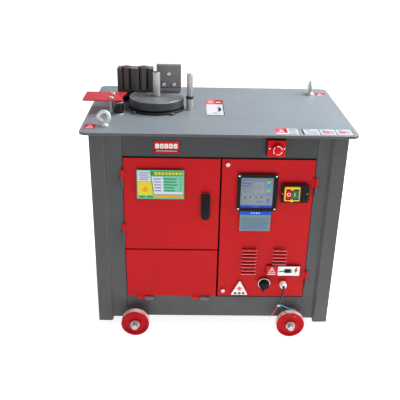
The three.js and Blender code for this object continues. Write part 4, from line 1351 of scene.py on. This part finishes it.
def ribbon(edges, thick):
    """A bent band between two edges, given as pairs of points, with its thickness along Z."""
    bm = bmesh.new()
    rows = [[bm.verts.new((x, y, z + up)) for x, y, z in pair for up in (0, thick)] for pair in edges]
    for a, b in zip(rows, rows[1:]):
        for i, j in ((0, 1), (1, 3), (3, 2), (2, 0)):
            bm.faces.new((a[i], a[j], b[j], b[i]))
    for end in (rows[0], rows[-1]):
        bm.faces.new((end[0], end[1], end[3], end[2]))
    bmesh.ops.recalc_face_normals(bm, faces=bm.faces[:])
    return bm


# The mushroom's cone: radius and height at its inner and its outer edge.
CONE = ((12.0, 16.4), (17.8, 13.4))


def release_arrow(start):
    """A curved arrow printed on the mushroom's cone, a third of the way round."""
    (inner, high), (outer, low) = CONE
    pairs = []
    shaft = [(start + 1.35 * i / 14, 1.1) for i in range(15)]
    point = [(start + 1.36 + 0.34 * i / 5, 2.4 * (1 - i / 5) + 0.05) for i in range(6)]
    for angle, half in shaft + point:
        edge = []
        for radius in (14.6 - half, 14.6 + half * 0.85):
            height = high + (radius - inner) * (low - high) / (outer - inner)
            edge.append((*polar(radius, angle), height - 0.4))
        pairs.append(edge)
    return ribbon(pairs, 0.65)


STEM_BORE = 8.4  # radius of the hole that the mushroom's stem slides in


def build_emergency_stop():
    x, (front, back), z = span("estop_box")
    pad = slab((x[0] - 3.4, x[1] + 3), (back - 2.6, back), (z[0] - 3.4, z[1] + 2), 0.8, 2)
    seam_edge = rectangle((x[0] - 0.15, x[1] + 0.15), (z[0] - 0.15, z[1] + 0.15))
    screws = [paint(screw_head(sx, middle(z) + 1, front + 0.1, 3, 1.2), 2) for sx in (x[0] + 7, x[1] - 4.6)]
    button_x, (_, inside), button_z = span("estop_button")
    at = (middle(button_x), front, middle(button_z))
    bore = circle(at[0], at[2], STEM_BORE, 48)
    box = soften(upright(rounded(x, z, 2.6, 4), (front, back - 2.7), [bore]), 1.6, 3)
    seam = paint(upright(seam_edge, (back - 9, back - 8.2), [bore]), 1)
    edge = [(STEM_BORE, 0), (15, 0), (14.4, 0.8), (STEM_BORE, 0.8), (STEM_BORE, 0)]
    collar = turned(edge, 0.2, 48, (at[0], front + 0.2, at[2]), "-Y", closed=True)
    bm = gather(box, paint(pad, 1), seam, *screws, paint(collar, 1))
    materials = ["red_plastic", "black_plastic", "chrome"]
    emit("estop_case", bm, "cabinet", materials, "estop_box")
    stem = front - inside
    head = [
        (0, stem), (7.6, stem), (7.6, 5.2), (16.4, 5.2), (19, 6.6), (19, 11.2), CONE[1], CONE[0],
        (6, 17.6), (0, 17.9),
    ]
    cap = turned(head, 1.2, 72, at, "-Y", fine=4)
    arrows = [paint(put(release_arrow(TAU * (i / 3 + 0.03)), at, "-Y"), 1) for i in range(3)]
    emit(
        "estop_mushroom", gather(cap, *arrows), "estop_button", ["red_plastic", "print_white"],
        "estop_button",
    )


# ------------------------------------------------------------------ drive inside the cabinet
def build_motor():
    """Foot-mounted motor: finned barrel, end bells, louvred fan cover and terminal box."""
    (x0, x1), _, (low, top) = span("motor")
    _, y, z = centre("motor_pulley")
    radius = 78.0
    fan, drive = x0 + 42, x1 - 26
    barrel = lathe([(0, fan), (radius - 9, fan), (radius - 9, drive), (0, drive)], 72, (0, y, z), "+X")
    bell = [
        (0, drive), (radius - 4, drive), (radius - 4, drive + 6), (radius - 22, x1 - 6),
        (26, x1 - 2), (24, x1), (13, x1), (13, x1 - 30), (0, x1 - 30),
    ]
    cover = [
        (0, x0), (radius - 14, x0), (radius - 3, x0 + 9), (radius - 1, fan + 3),
        (radius - 6, fan + 3), (0, fan + 2),
    ]
    shapes = [barrel, *(turned(end, 3, 72, (0, y, z), "+X") for end in (bell, cover))]
    fins = 44
    for i in range(fins):
        turn = TAU * (i + 0.5) / fins
        fin = slab((fan + 3, drive - 1), (-1.1, 1.1), (radius - 12, radius - 1), 0.6, 1)
        fin.transform(Matrix.Translation((0, y, z)) @ Matrix.Rotation(turn, 4, "X"))
        shapes.append(fin)
    for i in range(5):
        hoop = ring(18 + 10 * i, 1.3, (x0 - 0.2, y, z), "+X", 56, 8)
        shapes.append(paint(hoop, 1))
    for side in (-52, 52):
        bolt_y = y + side + math.copysign(9, side)
        foot = slab((x0 + 30, x1 - 30), (y + side - 16, y + side + 16), (low, low + 12), 2.5, 3)
        web = slab((x0 + 34, x1 - 34), (y + side - 5, y + side + 5), (low + 6, z - 46), 2, 2)
        shapes += [foot, web]
        for bx in (x0 + 42, x1 - 42):
            shapes.append(paint(hexagon_head(6, 5, (bx, bolt_y, low + 12), washer=8), 2))
    box_low = z + radius - 12
    box = slab((x0 + 60, x0 + 140), (y - 38, y + 38), (box_low, top - 7), 4, 3)
    lid = slab((x0 + 58, x0 + 142), (y - 40, y + 40), (top - 6.6, top), 2.4, 3)
    shapes += [box, lid]
    for bx in (x0 + 65, x0 + 135):
        for by in (y - 33, y + 33):
            shapes.append(paint(hexagon_head(2.6, 1.6, (bx, by, top)), 2))
    gland = [(0, 0), (9, 0), (9, 6), (7, 12), (0, 12)]
    shapes.append(paint(turned(gland, 1, 32, (x0 + 118, y - 38, box_low + 18), "-Y"), 1))
    emit(
        "motor_frame", gather(*shapes), "cabinet", ["motor_paint", "black_steel", "chrome"],
        "motor",
    )


def build_gearbox():
    """Cast worm box: filleted walls, ribs, a bolted end cover, filler plug and sight glass."""
    (x0, x1), (y0, _), (z0, z1) = span("gearbox_housing")
    roof = z1 - 29.7
    core = soften(from_frame("gearbox_housing"), 3.0, 3, 40)
    shapes = [core]
    for x in (x0 + 45, middle((x0, x1)), x1 - 45):
        shapes.append(slab((x - 4, x + 4), (y0 - 7, y0 + 2), (z0 + 4, roof - 6), 2.5, 3))
    for z in (z0 + 2, roof - 12):
        shapes.append(slab((x0 - 4, x1 + 4), (y0 - 8, y0 + 3), (z, z + 10), 2.5, 3))
    worm = centre("worm_shaft")
    cover = fillet([(15, 0), (44, 0), (44, 7), (40, 9), (24, 10), (22, 15), (15, 15), (15, 0)], 1.5)
    shapes.append(lathe(cover, 56, (x1 + 0.1, worm[1], worm[2]), "+X", closed=True))
    bolts = []
    for i in range(6):
        dy, dz = polar(36, TAU * (i + 0.5) / 6)
        bolts.append(hexagon_head(4.6, 4, (x1 + 8.2, worm[1] + dy, worm[2] + dz), "+X", washer=6.4))
    for x in (x0 + 14, x1 - 14):
        for z in (z0 + 16, roof - 22):
            bolts.append(hexagon_head(4.6, 4, (x, y0, z), "-Y", washer=6.4))
    plug = hexagon_head(8, 6, (x0 + 62, y0 - 0.1, z0 + 24), "-Y", washer=11)
    at = (x1 - 62, y0, z0 + 74)
    bezel = [(0, 0), (15, 0), (15, 3), (12.5, 5), (11, 5), (10.6, 3), (0, 3)]
    glass = turned(bezel, 0.8, 40, at, "-Y")
    eye = turned([(0, 2.9), (10.4, 2.9), (8, 4), (0, 4.6)], 0.6, 32, at, "-Y")
    bm = gather(*shapes, *(paint(b, 1) for b in (*bolts, plug, glass)), paint(eye, 2))
    emit(
        "gearbox_casting", bm, "cabinet", ["cast_grey", "chrome", "print_amber"],
        "gearbox_housing",
    )


BELT_PLANE = -59.0  # the middle of both pulleys along X


def pulley(radius, bore, at):
    """V-belt pulley about X with a dished web and a hub."""
    half, groove, deep = 13.0, 8.5, 9.0
    floor = radius - deep
    rim = [(radius, -half), (radius, -groove), (floor, -groove), (floor, groove), (radius, groove)]
    rim.append((radius, half))
    dish = [(radius - 14, half), (radius - 17, 5), (bore + 15, 5), (bore + 13, half), (bore, half)]
    back = [(r, -height) for r, height in reversed(dish)]
    return turned([*rim, *dish, *back, rim[0]], 1.2, 96, at, "+X", closed=True, fine=2)


def build_worm_line():
    x, y, z = centre("driven_pulley")
    emit(
        "upper_pulley", pulley(70, 12.4, (x, y, z)), "worm_line", "cast_iron",
        "driven_pulley",
    )
    (x0, x1), _, _ = span("worm_shaft")
    mid = SPINDLE.x
    shaft = [(0, x0), (11, x0), (12, x0 + 1), (12, x1 - 1), (11, x1), (0, x1)]
    shapes = [lathe(shaft, 48, (0, y, z), "+X")]
    start, end, turns = mid - 74.5, mid + 74.5, 7
    shapes.append(turned([(0, start), (15.5, start), (15.5, end), (0, end)], 1, 48, (0, y, z), "+X"))
    steps = turns * 40
    thread = []
    for i in range(steps + 1):
        u = i / steps
        dy, dz = polar(16.4, TAU * turns * u)
        thread.append((start + 5 + (end - start - 10) * u, y + dy, z + dz))
    ends = [min(1.0, 0.2 + min(i, steps - i) / 14) for i in range(steps + 1)]
    shapes.append(tube(thread, [3.5 * e for e in ends], 10))
    nut = hexagon_head(11, 8, (x1 - 7.5, y, z), "+X")
    emit("worm", gather(*shapes, nut), "worm_line", "turned_steel", "worm_shaft")


def build_worm_wheel():
    """Bronze ring with cut teeth on an iron hub."""
    x, y, z = centre("worm_wheel")
    outer = radius_of("worm_wheel")
    half, teeth = 16.0, 30
    hub = [(28.6, -half), (outer - 16, -half), (outer - 16, half), (28.6, half), (28.6, -half)]
    outline = []
    for i in range(teeth):
        for share, depth in ((0.0, 6), (0.2, 5.6), (0.36, 0.4), (0.64, 0.4), (0.8, 5.6)):
            outline.append(polar(outer - depth, TAU * (i + share) / teeth))
    bore = circle(0, 0, outer - 15.9, 64)
    rim = soften(plate(outline, (-half, half), [bore]), 0.6, 1, 40)
    bm = gather(put(rim, (x, y, z)), paint(turned(hub, 1.5, 64, (x, y, z), closed=True), 1))
    emit("worm_wheel_ring", bm, "turntable", ["bronze", "cast_iron"], "worm_wheel")


def build_motor_pulley():
    _, y, z = centre("motor_pulley")
    x = BELT_PLANE
    start = span("motor_pulley")[0][0]
    bm = pulley(42, 12.0, (x, y, z))
    shaft = [(0, start), (12, start), (12, x + 12), (0, x + 12)]
    bolt = hexagon_head(7, 5, (x + 12, y, z), "+X", washer=12)
    steel = [paint(shape, 1) for shape in (turned(shaft, 1, 48, (0, y, z), "+X"), bolt)]
    emit(
        "lower_pulley", gather(bm, *steel), "motor_rotor", ["cast_iron", "turned_steel"],
        "motor_pulley",
    )


def build_belt():
    """V-belt with a tapered section, clear of both grooves."""
    x, y, _ = centre("drive_belt")
    low, high = centre("motor_pulley")[2], centre("driven_pulley")[2]
    small, large = 33 + 6.2, 61 + 6.2
    gap = high - low
    lean = math.asin((large - small) / gap)
    steps = 60
    path = []
    for i in range(steps + 1):
        angle = math.pi - lean + (math.pi + 2 * lean) * i / steps
        path.append((polar(small, angle), angle, low))
    for i in range(steps + 1):
        angle = lean * -1 + (math.pi + 2 * lean) * i / steps
        path.append((polar(large, angle), angle, high))
    path = straight_runs(path)
    bm = bmesh.new()
    section = [(-5.8, -4.8), (5.8, -4.8), (7.2, 3.4), (6.8, 4.6), (-6.8, 4.6), (-7.2, 3.4)]
    rings = []
    for (px, pz), (nx, nz) in path:
        rings.append([bm.verts.new((x + u, y + px + v * nx, pz + v * nz)) for u, v in section])
    for a, b in zip(rings, rings[1:] + rings[:1]):
        for i in range(len(section)):
            bm.faces.new((a[i - 1], a[i], b[i], b[i - 1]))
    bmesh.ops.recalc_face_normals(bm, faces=bm.faces[:])
    emit("v_belt", bm, "cabinet", "belt_rubber", "drive_belt")


def straight_runs(arcs):
    """Points and outward normals round both pulleys, with evenly spaced points on the straights."""
    made = []
    spots = [((x, z + level), (math.cos(a), math.sin(a))) for (x, z), a, level in arcs]
    for (here, out), (after, _) in zip(spots, spots[1:] + spots[:1]):
        reach = math.dist(here, after)
        count = max(1, round(reach / 12))
        for step in range(count):
            t = step / count
            made.append(((here[0] + (after[0] - here[0]) * t, here[1] + (after[1] - here[1]) * t), out))
    return made


def build_switchgear():
    """Galvanised plate with a rail, three contactors, terminals and a wiring duct."""
    (x0, x1), (front, _), (z0, z1) = span("electrical_plate")
    sheet = soften(upright(rounded((x0, x1), (z0, z1), 6, 4), (front, front + 2)), 0.5)
    shapes = [sheet]
    for bx in (75, 285):
        for bz in (355, 525):
            shapes.append(turned([(0, 0), (6, 0), (6, 12), (0, 12)], 0.5, 24, (bx, front + 2, bz), "+Y"))
            shapes.append(hexagon_head(5, 3.6, (bx, front, bz), "-Y", washer=7))
    emit("mounting_plate", gather(*shapes), "cabinet", "zinc_sheet", "electrical_plate")

    (sx0, sx1), (tip, rear), _ = span("switchgear")
    rail = [brick((sx0, sx1), (rear - 1.2, rear), (425, 460))]
    rail += [brick((sx0, sx1), (rear - 7.6, rear - 6.4), z) for z in ((425, 431), (454, 460))]
    rail += [brick((sx0, sx1), (rear - 7, rear - 1), z) for z in ((430, 431.2), (453.8, 455))]
    bm = [paint(r, 1) for r in rail]
    for x in (90, 150, 210):
        bm.append(slab((x, x + 50), (tip + 22, rear - 6), (400, 485), 1.6, 2))
        bm.append(slab((x + 4, x + 46), (tip, tip + 24), (418, 467), 1.6, 2))
        bm.append(paint(slab((x + 18, x + 32), (tip - 0.6, tip + 1), (436, 449), 0.6), 2))
        for i in range(4):
            for z in (405, 480):
                bm.append(paint(screw_head(x + 7 + 12 * i, z, tip + 22.1, 3.2, 1.2), 3))
    materials = ["black_plastic", "zinc_sheet", "grey_plastic", "chrome"]
    emit("contactors", gather(*bm), "cabinet", materials, "switchgear")

    duct = [slab((x0 + 8, x1 - 8), (front - 34, front - 0.4), (350, 378), 1, 2)]
    duct += [
        brick((start, start + 3), (front - 34.3, front - 33.8), (352, 376))
        for start in (x0 + 14 + 10 * i for i in range(21))
    ]
    emit("wiring_duct", gather(*duct), "cabinet", "grey_plastic")
    wires = []
    for i in range(12):
        x = 97 + 12 * (i % 4) + 60 * (i // 4)
        route = [
            (x, tip + 21, 403), (x, tip + 16, 398), (x, tip + 20, 388), (x + 2, tip + 34, 380),
            (x + 2, tip + 48, 376),
        ]
        wires.append(tube(spline(route, 5), 1.5, 8))
    emit("contactor_wires", gather(*wires), "cabinet", "core_blue")


# ------------------------------------------------------------------ blank signs
def sign(name, body, layers, surface, facing, at=(0, 0)):
    """A printed sticker: layers of outlines, each a hair above the last, with no lettering."""
    shapes, materials = [], []
    for level, (material, outlines) in enumerate(layers):
        if material not in materials:
            materials.append(material)
        low = 0.12 * level if level else -0.02
        for outer, *holes in outlines:
            flat = plate([(u + at[0], v + at[1]) for u, v in outer], (low, 0.12 * level + 0.14), [
                [(u + at[0], v + at[1]) for u, v in hole] for hole in holes
            ])
            if facing == "front":
                put(flat, (0, surface, 0), "-Y")
            else:
                put(flat, (0, 0, surface))
            shapes.append(paint(flat, materials.index(material)))
    return emit(name, gather(*shapes), body, materials)


def block(x, y, corner=0.0):
    return [rounded(x, y, corner, 4) if corner else rectangle(x, y)]


def build_door_signs():
    """Maintenance chart on the upper door and the plain signs on the control door."""
    w, h = 164.0, 109.0
    ground = [(4, 68), (50, 68), (46, h - 4), (4, h - 4)]
    slant = [(60, 21), (96, 21), (90, 84), (52, 84)]
    heading = [(48, 88), (46, 104), (w - 6, 104), (w - 6, 88)]
    divider = [(57, 15), (60, 15), (50, 88), (48, 88)]
    bars = [
        block((92, 92 + long), (74 - 11 * i, 78.5 - 11 * i))
        for i, long in enumerate((46, 42, 48, 38, 40))
    ]
    ticks = [block((151, 154), (73 - 11 * i, 79 - 11 * i)) for i in range(5)]
    notes = [block((58 + i, 84), (74.5 - 11 * i, 77.5 - 11 * i)) for i in range(5)]
    heads = [block((62 + 12 * i, 71 + 12 * i), (92, 101)) for i in range(8)]
    beads = [block((9, 44 - 5 * (i % 2)), (97 - 8 * i, 99.5 - 8 * i)) for i in range(4)]
    drop = []
    for step in range(28):
        turn = TAU * step / 28
        drop.append((29 + 8 * math.sin(turn) * (1 - math.cos(turn)), 40 + 12 * math.cos(turn)))
    chart = [
        ("print_green", [block((0, w), (0, h), 1)]),
        ("print_mint", [block((1.6, w - 1.6), (1.6, h - 1.6))]),
        ("print_lilac", [[ground], [slant]]),
        ("print_lilac", [block((58, w - 6), (19, 28))]),
        ("print_yellow", [[[(5, 15), (57, 15), (50, 66), (5, 66)]]]),
        ("print_green", [[heading], [divider], *bars]),
        ("print_green", [block((8, 28), (5, 12)), block((34, 56), (5, 12)), *ticks]),
        ("print_amber", [block((62, w - 6), (6, 17)), [drop]]),
        ("print_yellow", heads),
        ("print_sky", [*notes, *beads]),
    ]
    sign("door_chart", "upper_door", chart, DOOR_FRONT, "front", (-279.5, 552))

    underlines = [
        block(x, (low, low + 1.6)) for x, low in (((9, 30), 10), ((40, 62), 19), ((70, 96), 28))
    ]
    table = [
        ("print_sage", [block((0, 109.5), (0, 78), 1)]),
        ("print_blue", [block((0, 109.5), (64, 78))]),
        ("print_white", [block((38 + 9 * i, 42 + 9 * i), (69, 73)) for i in range(4)]),
        ("print_sky", [block((6, 104 - 9 * (i % 2)), (9 + 9 * i, 12.5 + 9 * i)) for i in range(5)]),
        ("print_blue", underlines),
    ]
    sign("controller_chart", "control_door", table, DOOR_FRONT, "front", (82, 430.5))

    triangle = [[(1.5, 0), (59.5, 0), (61, 2.5), (31.5, 60), (29.5, 60), (0, 2.5)]]
    burst = []
    for i in range(16):
        dx, dy = polar(14 if i % 2 == 0 else 5.4, TAU * i / 16 + math.pi / 2)
        burst.append((30.5 + dx, 27 + dy))
    dots = [[rounded((25.5 + 15 * i, 35.5 + 15 * i), (3, 11), 2.8, 4)] for i in (-1, 0, 1)]
    warning = [("print_white", [triangle]), ("print_pink", [[burst]]), ("print_black", dots)]
    sign("hazard_triangle", "control_door", warning, DOOR_FRONT, "front", (64, 159))

    wide, tall, split = 127.5, 43.5, 45.0
    wire = [(47, 20), (58, 22), (68, 24), (76, 25), (76, 21), (68, 20), (58, 18), (47, 17)]
    bolt = [(110, 36), (118, 36), (113.5, 27), (119, 27), (107, 8), (110.5, 20), (105, 20)]
    tri = [(10, 13), (36, 13), (23, 38)]
    inner = [(13.6, 15.2), (32.4, 15.2), (23, 33.5)]
    stroke = [(22.2, 19), (23.8, 19), (24.4, 27), (21.6, 27)]
    prongs = [block((93, 99), (low, low + 3)) for low in (17, 25)]
    plug = [
        ("print_black", [block((0, wide), (0, tall), 2)]),
        ("print_white", [block((split, wide - 2.2), (2.2, tall - 2.2))]),
        ("print_red", [block((2.2, split), (2.2, tall - 2.2)), [bolt]]),
        ("print_black", [[wire], block((69, 93), (14, 31), 2), *prongs]),
        ("print_white", [[tri, inner], [stroke], block((8, 38), (6, 8.6))]),
    ]
    sign("plug_sign", "control_door", plug, DOOR_FRONT, "front", (188, 242.5))


def build_frame_signs():
    """Plain signs on the top rail and on the table."""
    blocks = [block((3.5 + 15.5 * i, 16.5 + 15.5 * i), (18, 35), 3) for i in range(5)]
    plate_sign = [
        ("print_black", [block((-4, 88), (-2, 46), 2)]),
        ("print_red", [block((-2, 86), (0, 44), 1.5)]),
        ("print_black", [block((0, 83), (5, 13))]),
        ("print_white", [block((5, 78), (8, 10)), *blocks]),
        ("print_red", [block((8.5 + 15.5 * i, 11.5 + 15.5 * i), (22, 25 + 3 * (i % 2))) for i in range(5)]),
    ]
    sign("rail_sign", "cabinet", plate_sign, FRAME_FACE, "front", (-218, 717))

    wide, deep, split = 62.0, 199.0, 138.0
    crescent = [
        (43 + 12 * math.cos(t), 72 + 27 * math.sin(t))
        for t in (math.radians(60 - 12 * i) for i in range(13))
    ]
    crescent += [
        (39 + 6 * math.cos(t), 72 + 25 * math.sin(t))
        for t in (math.radians(12 * i - 84) for i in range(13))
    ]
    turn = [
        ("print_black", [block((-0.8, wide + 3), (-4.5, deep + 1), 2)]),
        ("print_pale", [block((0, wide), (0, deep), 1.5)]),
        ("print_lilac", [block((2, 38), (20, split - 8))]),
        ("print_pink", [block((0.6, 34), (split, deep - 2))]),
        ("print_red", [block((34, wide - 0.6), (split, deep - 2))]),
        ("print_black", [[crescent]]),
        (
            "print_white",
            [block((38, 56), (split + 20, split + 29)), block((7, 27), (split + 34, split + 41))],
        ),
        ("print_white", [block((7, 27), (split + 14, split + 20))]),
        ("print_sky", [block((24, 38), (22, 28))]),
    ]
    sign("rotation_sign", "cabinet", turn, TABLE_TOP, "top", (-38, -87))

    corner = [
        ("print_pale", [block((0, 76), (0, 60), 2)]),
        ("print_pink", [block((0, 40), (16, 60))]),
        ("print_red", [block((30, 40), (16, 60))]),
        ("print_white", [[[(11, 24), (29, 24), (20, 50)], [(14.5, 28), (25.5, 28), (20, 42)]]]),
        ("print_sky", [block((46, 70), (22 + 12 * i, 26 + 12 * i)) for i in range(3)]),
        ("print_pink", [block((44, 70), (5, 10))]),
    ]
    sign("front_table_sign", "cabinet", corner, TABLE_TOP, "top", (188, -288))

    lefts = [55 * i for i in range(3)]
    strip = [
        # The black layer shows as a dark edge round the signs, widest at the left.
        ("print_black", [block((-5, 164), (-1, 57), 2)]),
        ("print_pale", [block((left, left + 52), (0, 56), 2) for left in lefts]),
        (
            "print_sky",
            [block((left + 6, left + 46), (11 + 12 * j, 15 + 12 * j)) for left in lefts for j in range(3)],
        ),
        ("print_sky", [block((left + 6, left + 24), (46, 50)) for left in lefts]),
        ("print_pink", [block((left + 8, left + 32), (20, 36), 7) for left in lefts[1:]]),
    ]
    sign("table_sign_strip", "cabinet", strip, TABLE_TOP, "top", (283, -288))

    for name, at in (("front_eye_sign", (-454, -255)), ("rear_eye_sign", (408, 195))):
        lift = [
            ("print_red", [block((0, 38), (0, 43), 1.5)]),
            (
                "print_white",
                [
                    [[(9, 16), (29, 16), (19, 37)], [(13.5, 19), (24.5, 19), (19, 30)]],
                    block((6, 32), (5, 10)),
                ],
            ),
        ]
        sign(name, "cabinet", lift, TABLE_TOP, "top", at)


# ------------------------------------------------------------------ stage
def build_stage():
    """A pale, faintly glowing floor; one strong soft lamp above the right side, two weak in front."""
    bpy.ops.mesh.primitive_plane_add(size=40)
    floor = bpy.context.object
    floor.name = "floor"
    f = Finish("floor_paper", 0.9, Emission_Strength=0.82, Emission_Color=(1, 1, 1, 1))
    f.bump(f.noise(30, 4), 0.0004)
    floor.data.materials.append(f.done(f.mix(f.noise(2, 3), linear("#f7f7f7"), linear("#fbfbfb"))))
    world = bpy.data.worlds.new("studio")
    world.use_nodes = True
    world.node_tree.nodes["Background"].inputs[0].default_value = (1, 1, 1, 1)
    world.node_tree.nodes["Background"].inputs[1].default_value = 0.3
    bpy.context.scene.world = world
    lights = (
        ("overhead", (1.7, 0.15, 2.5), (0, 0, 0.5), 2.5, 117),
        ("front_left", (-2.0, -2.6, 3.6), (0, 0, 0.5), 2.0, 12),
        ("front_right", (2.4, -2.6, 2.8), (0, 0, 0.4), 2.2, 3),
    )
    for name, place, target, size, power in lights:
        data = bpy.data.lights.new(name, "AREA")
        data.size = size
        data.energy = power
        lamp_object = bpy.data.objects.new(name, data)
        lamp_object.location = place
        aim = Vector(target) - Vector(place)
        lamp_object.rotation_euler = aim.to_track_quat("-Z", "Y").to_euler()
        bpy.context.scene.collection.objects.link(lamp_object)
    bpy.context.scene.view_settings.view_transform = "Standard"


for build in (
    build_cord, build_sheets, build_seals, build_louvres, build_table, build_wheels, build_disk,
    build_pins, build_bearing, build_fence, build_fence_plate, build_gauge, build_eyes, build_latch,
    build_fasteners, build_controller, build_switch, build_selector, build_emergency_stop,
    build_motor, build_gearbox, build_worm_line, build_worm_wheel, build_motor_pulley, build_belt,
    build_switchgear, build_door_signs, build_frame_signs, build_stage,
):
    build()
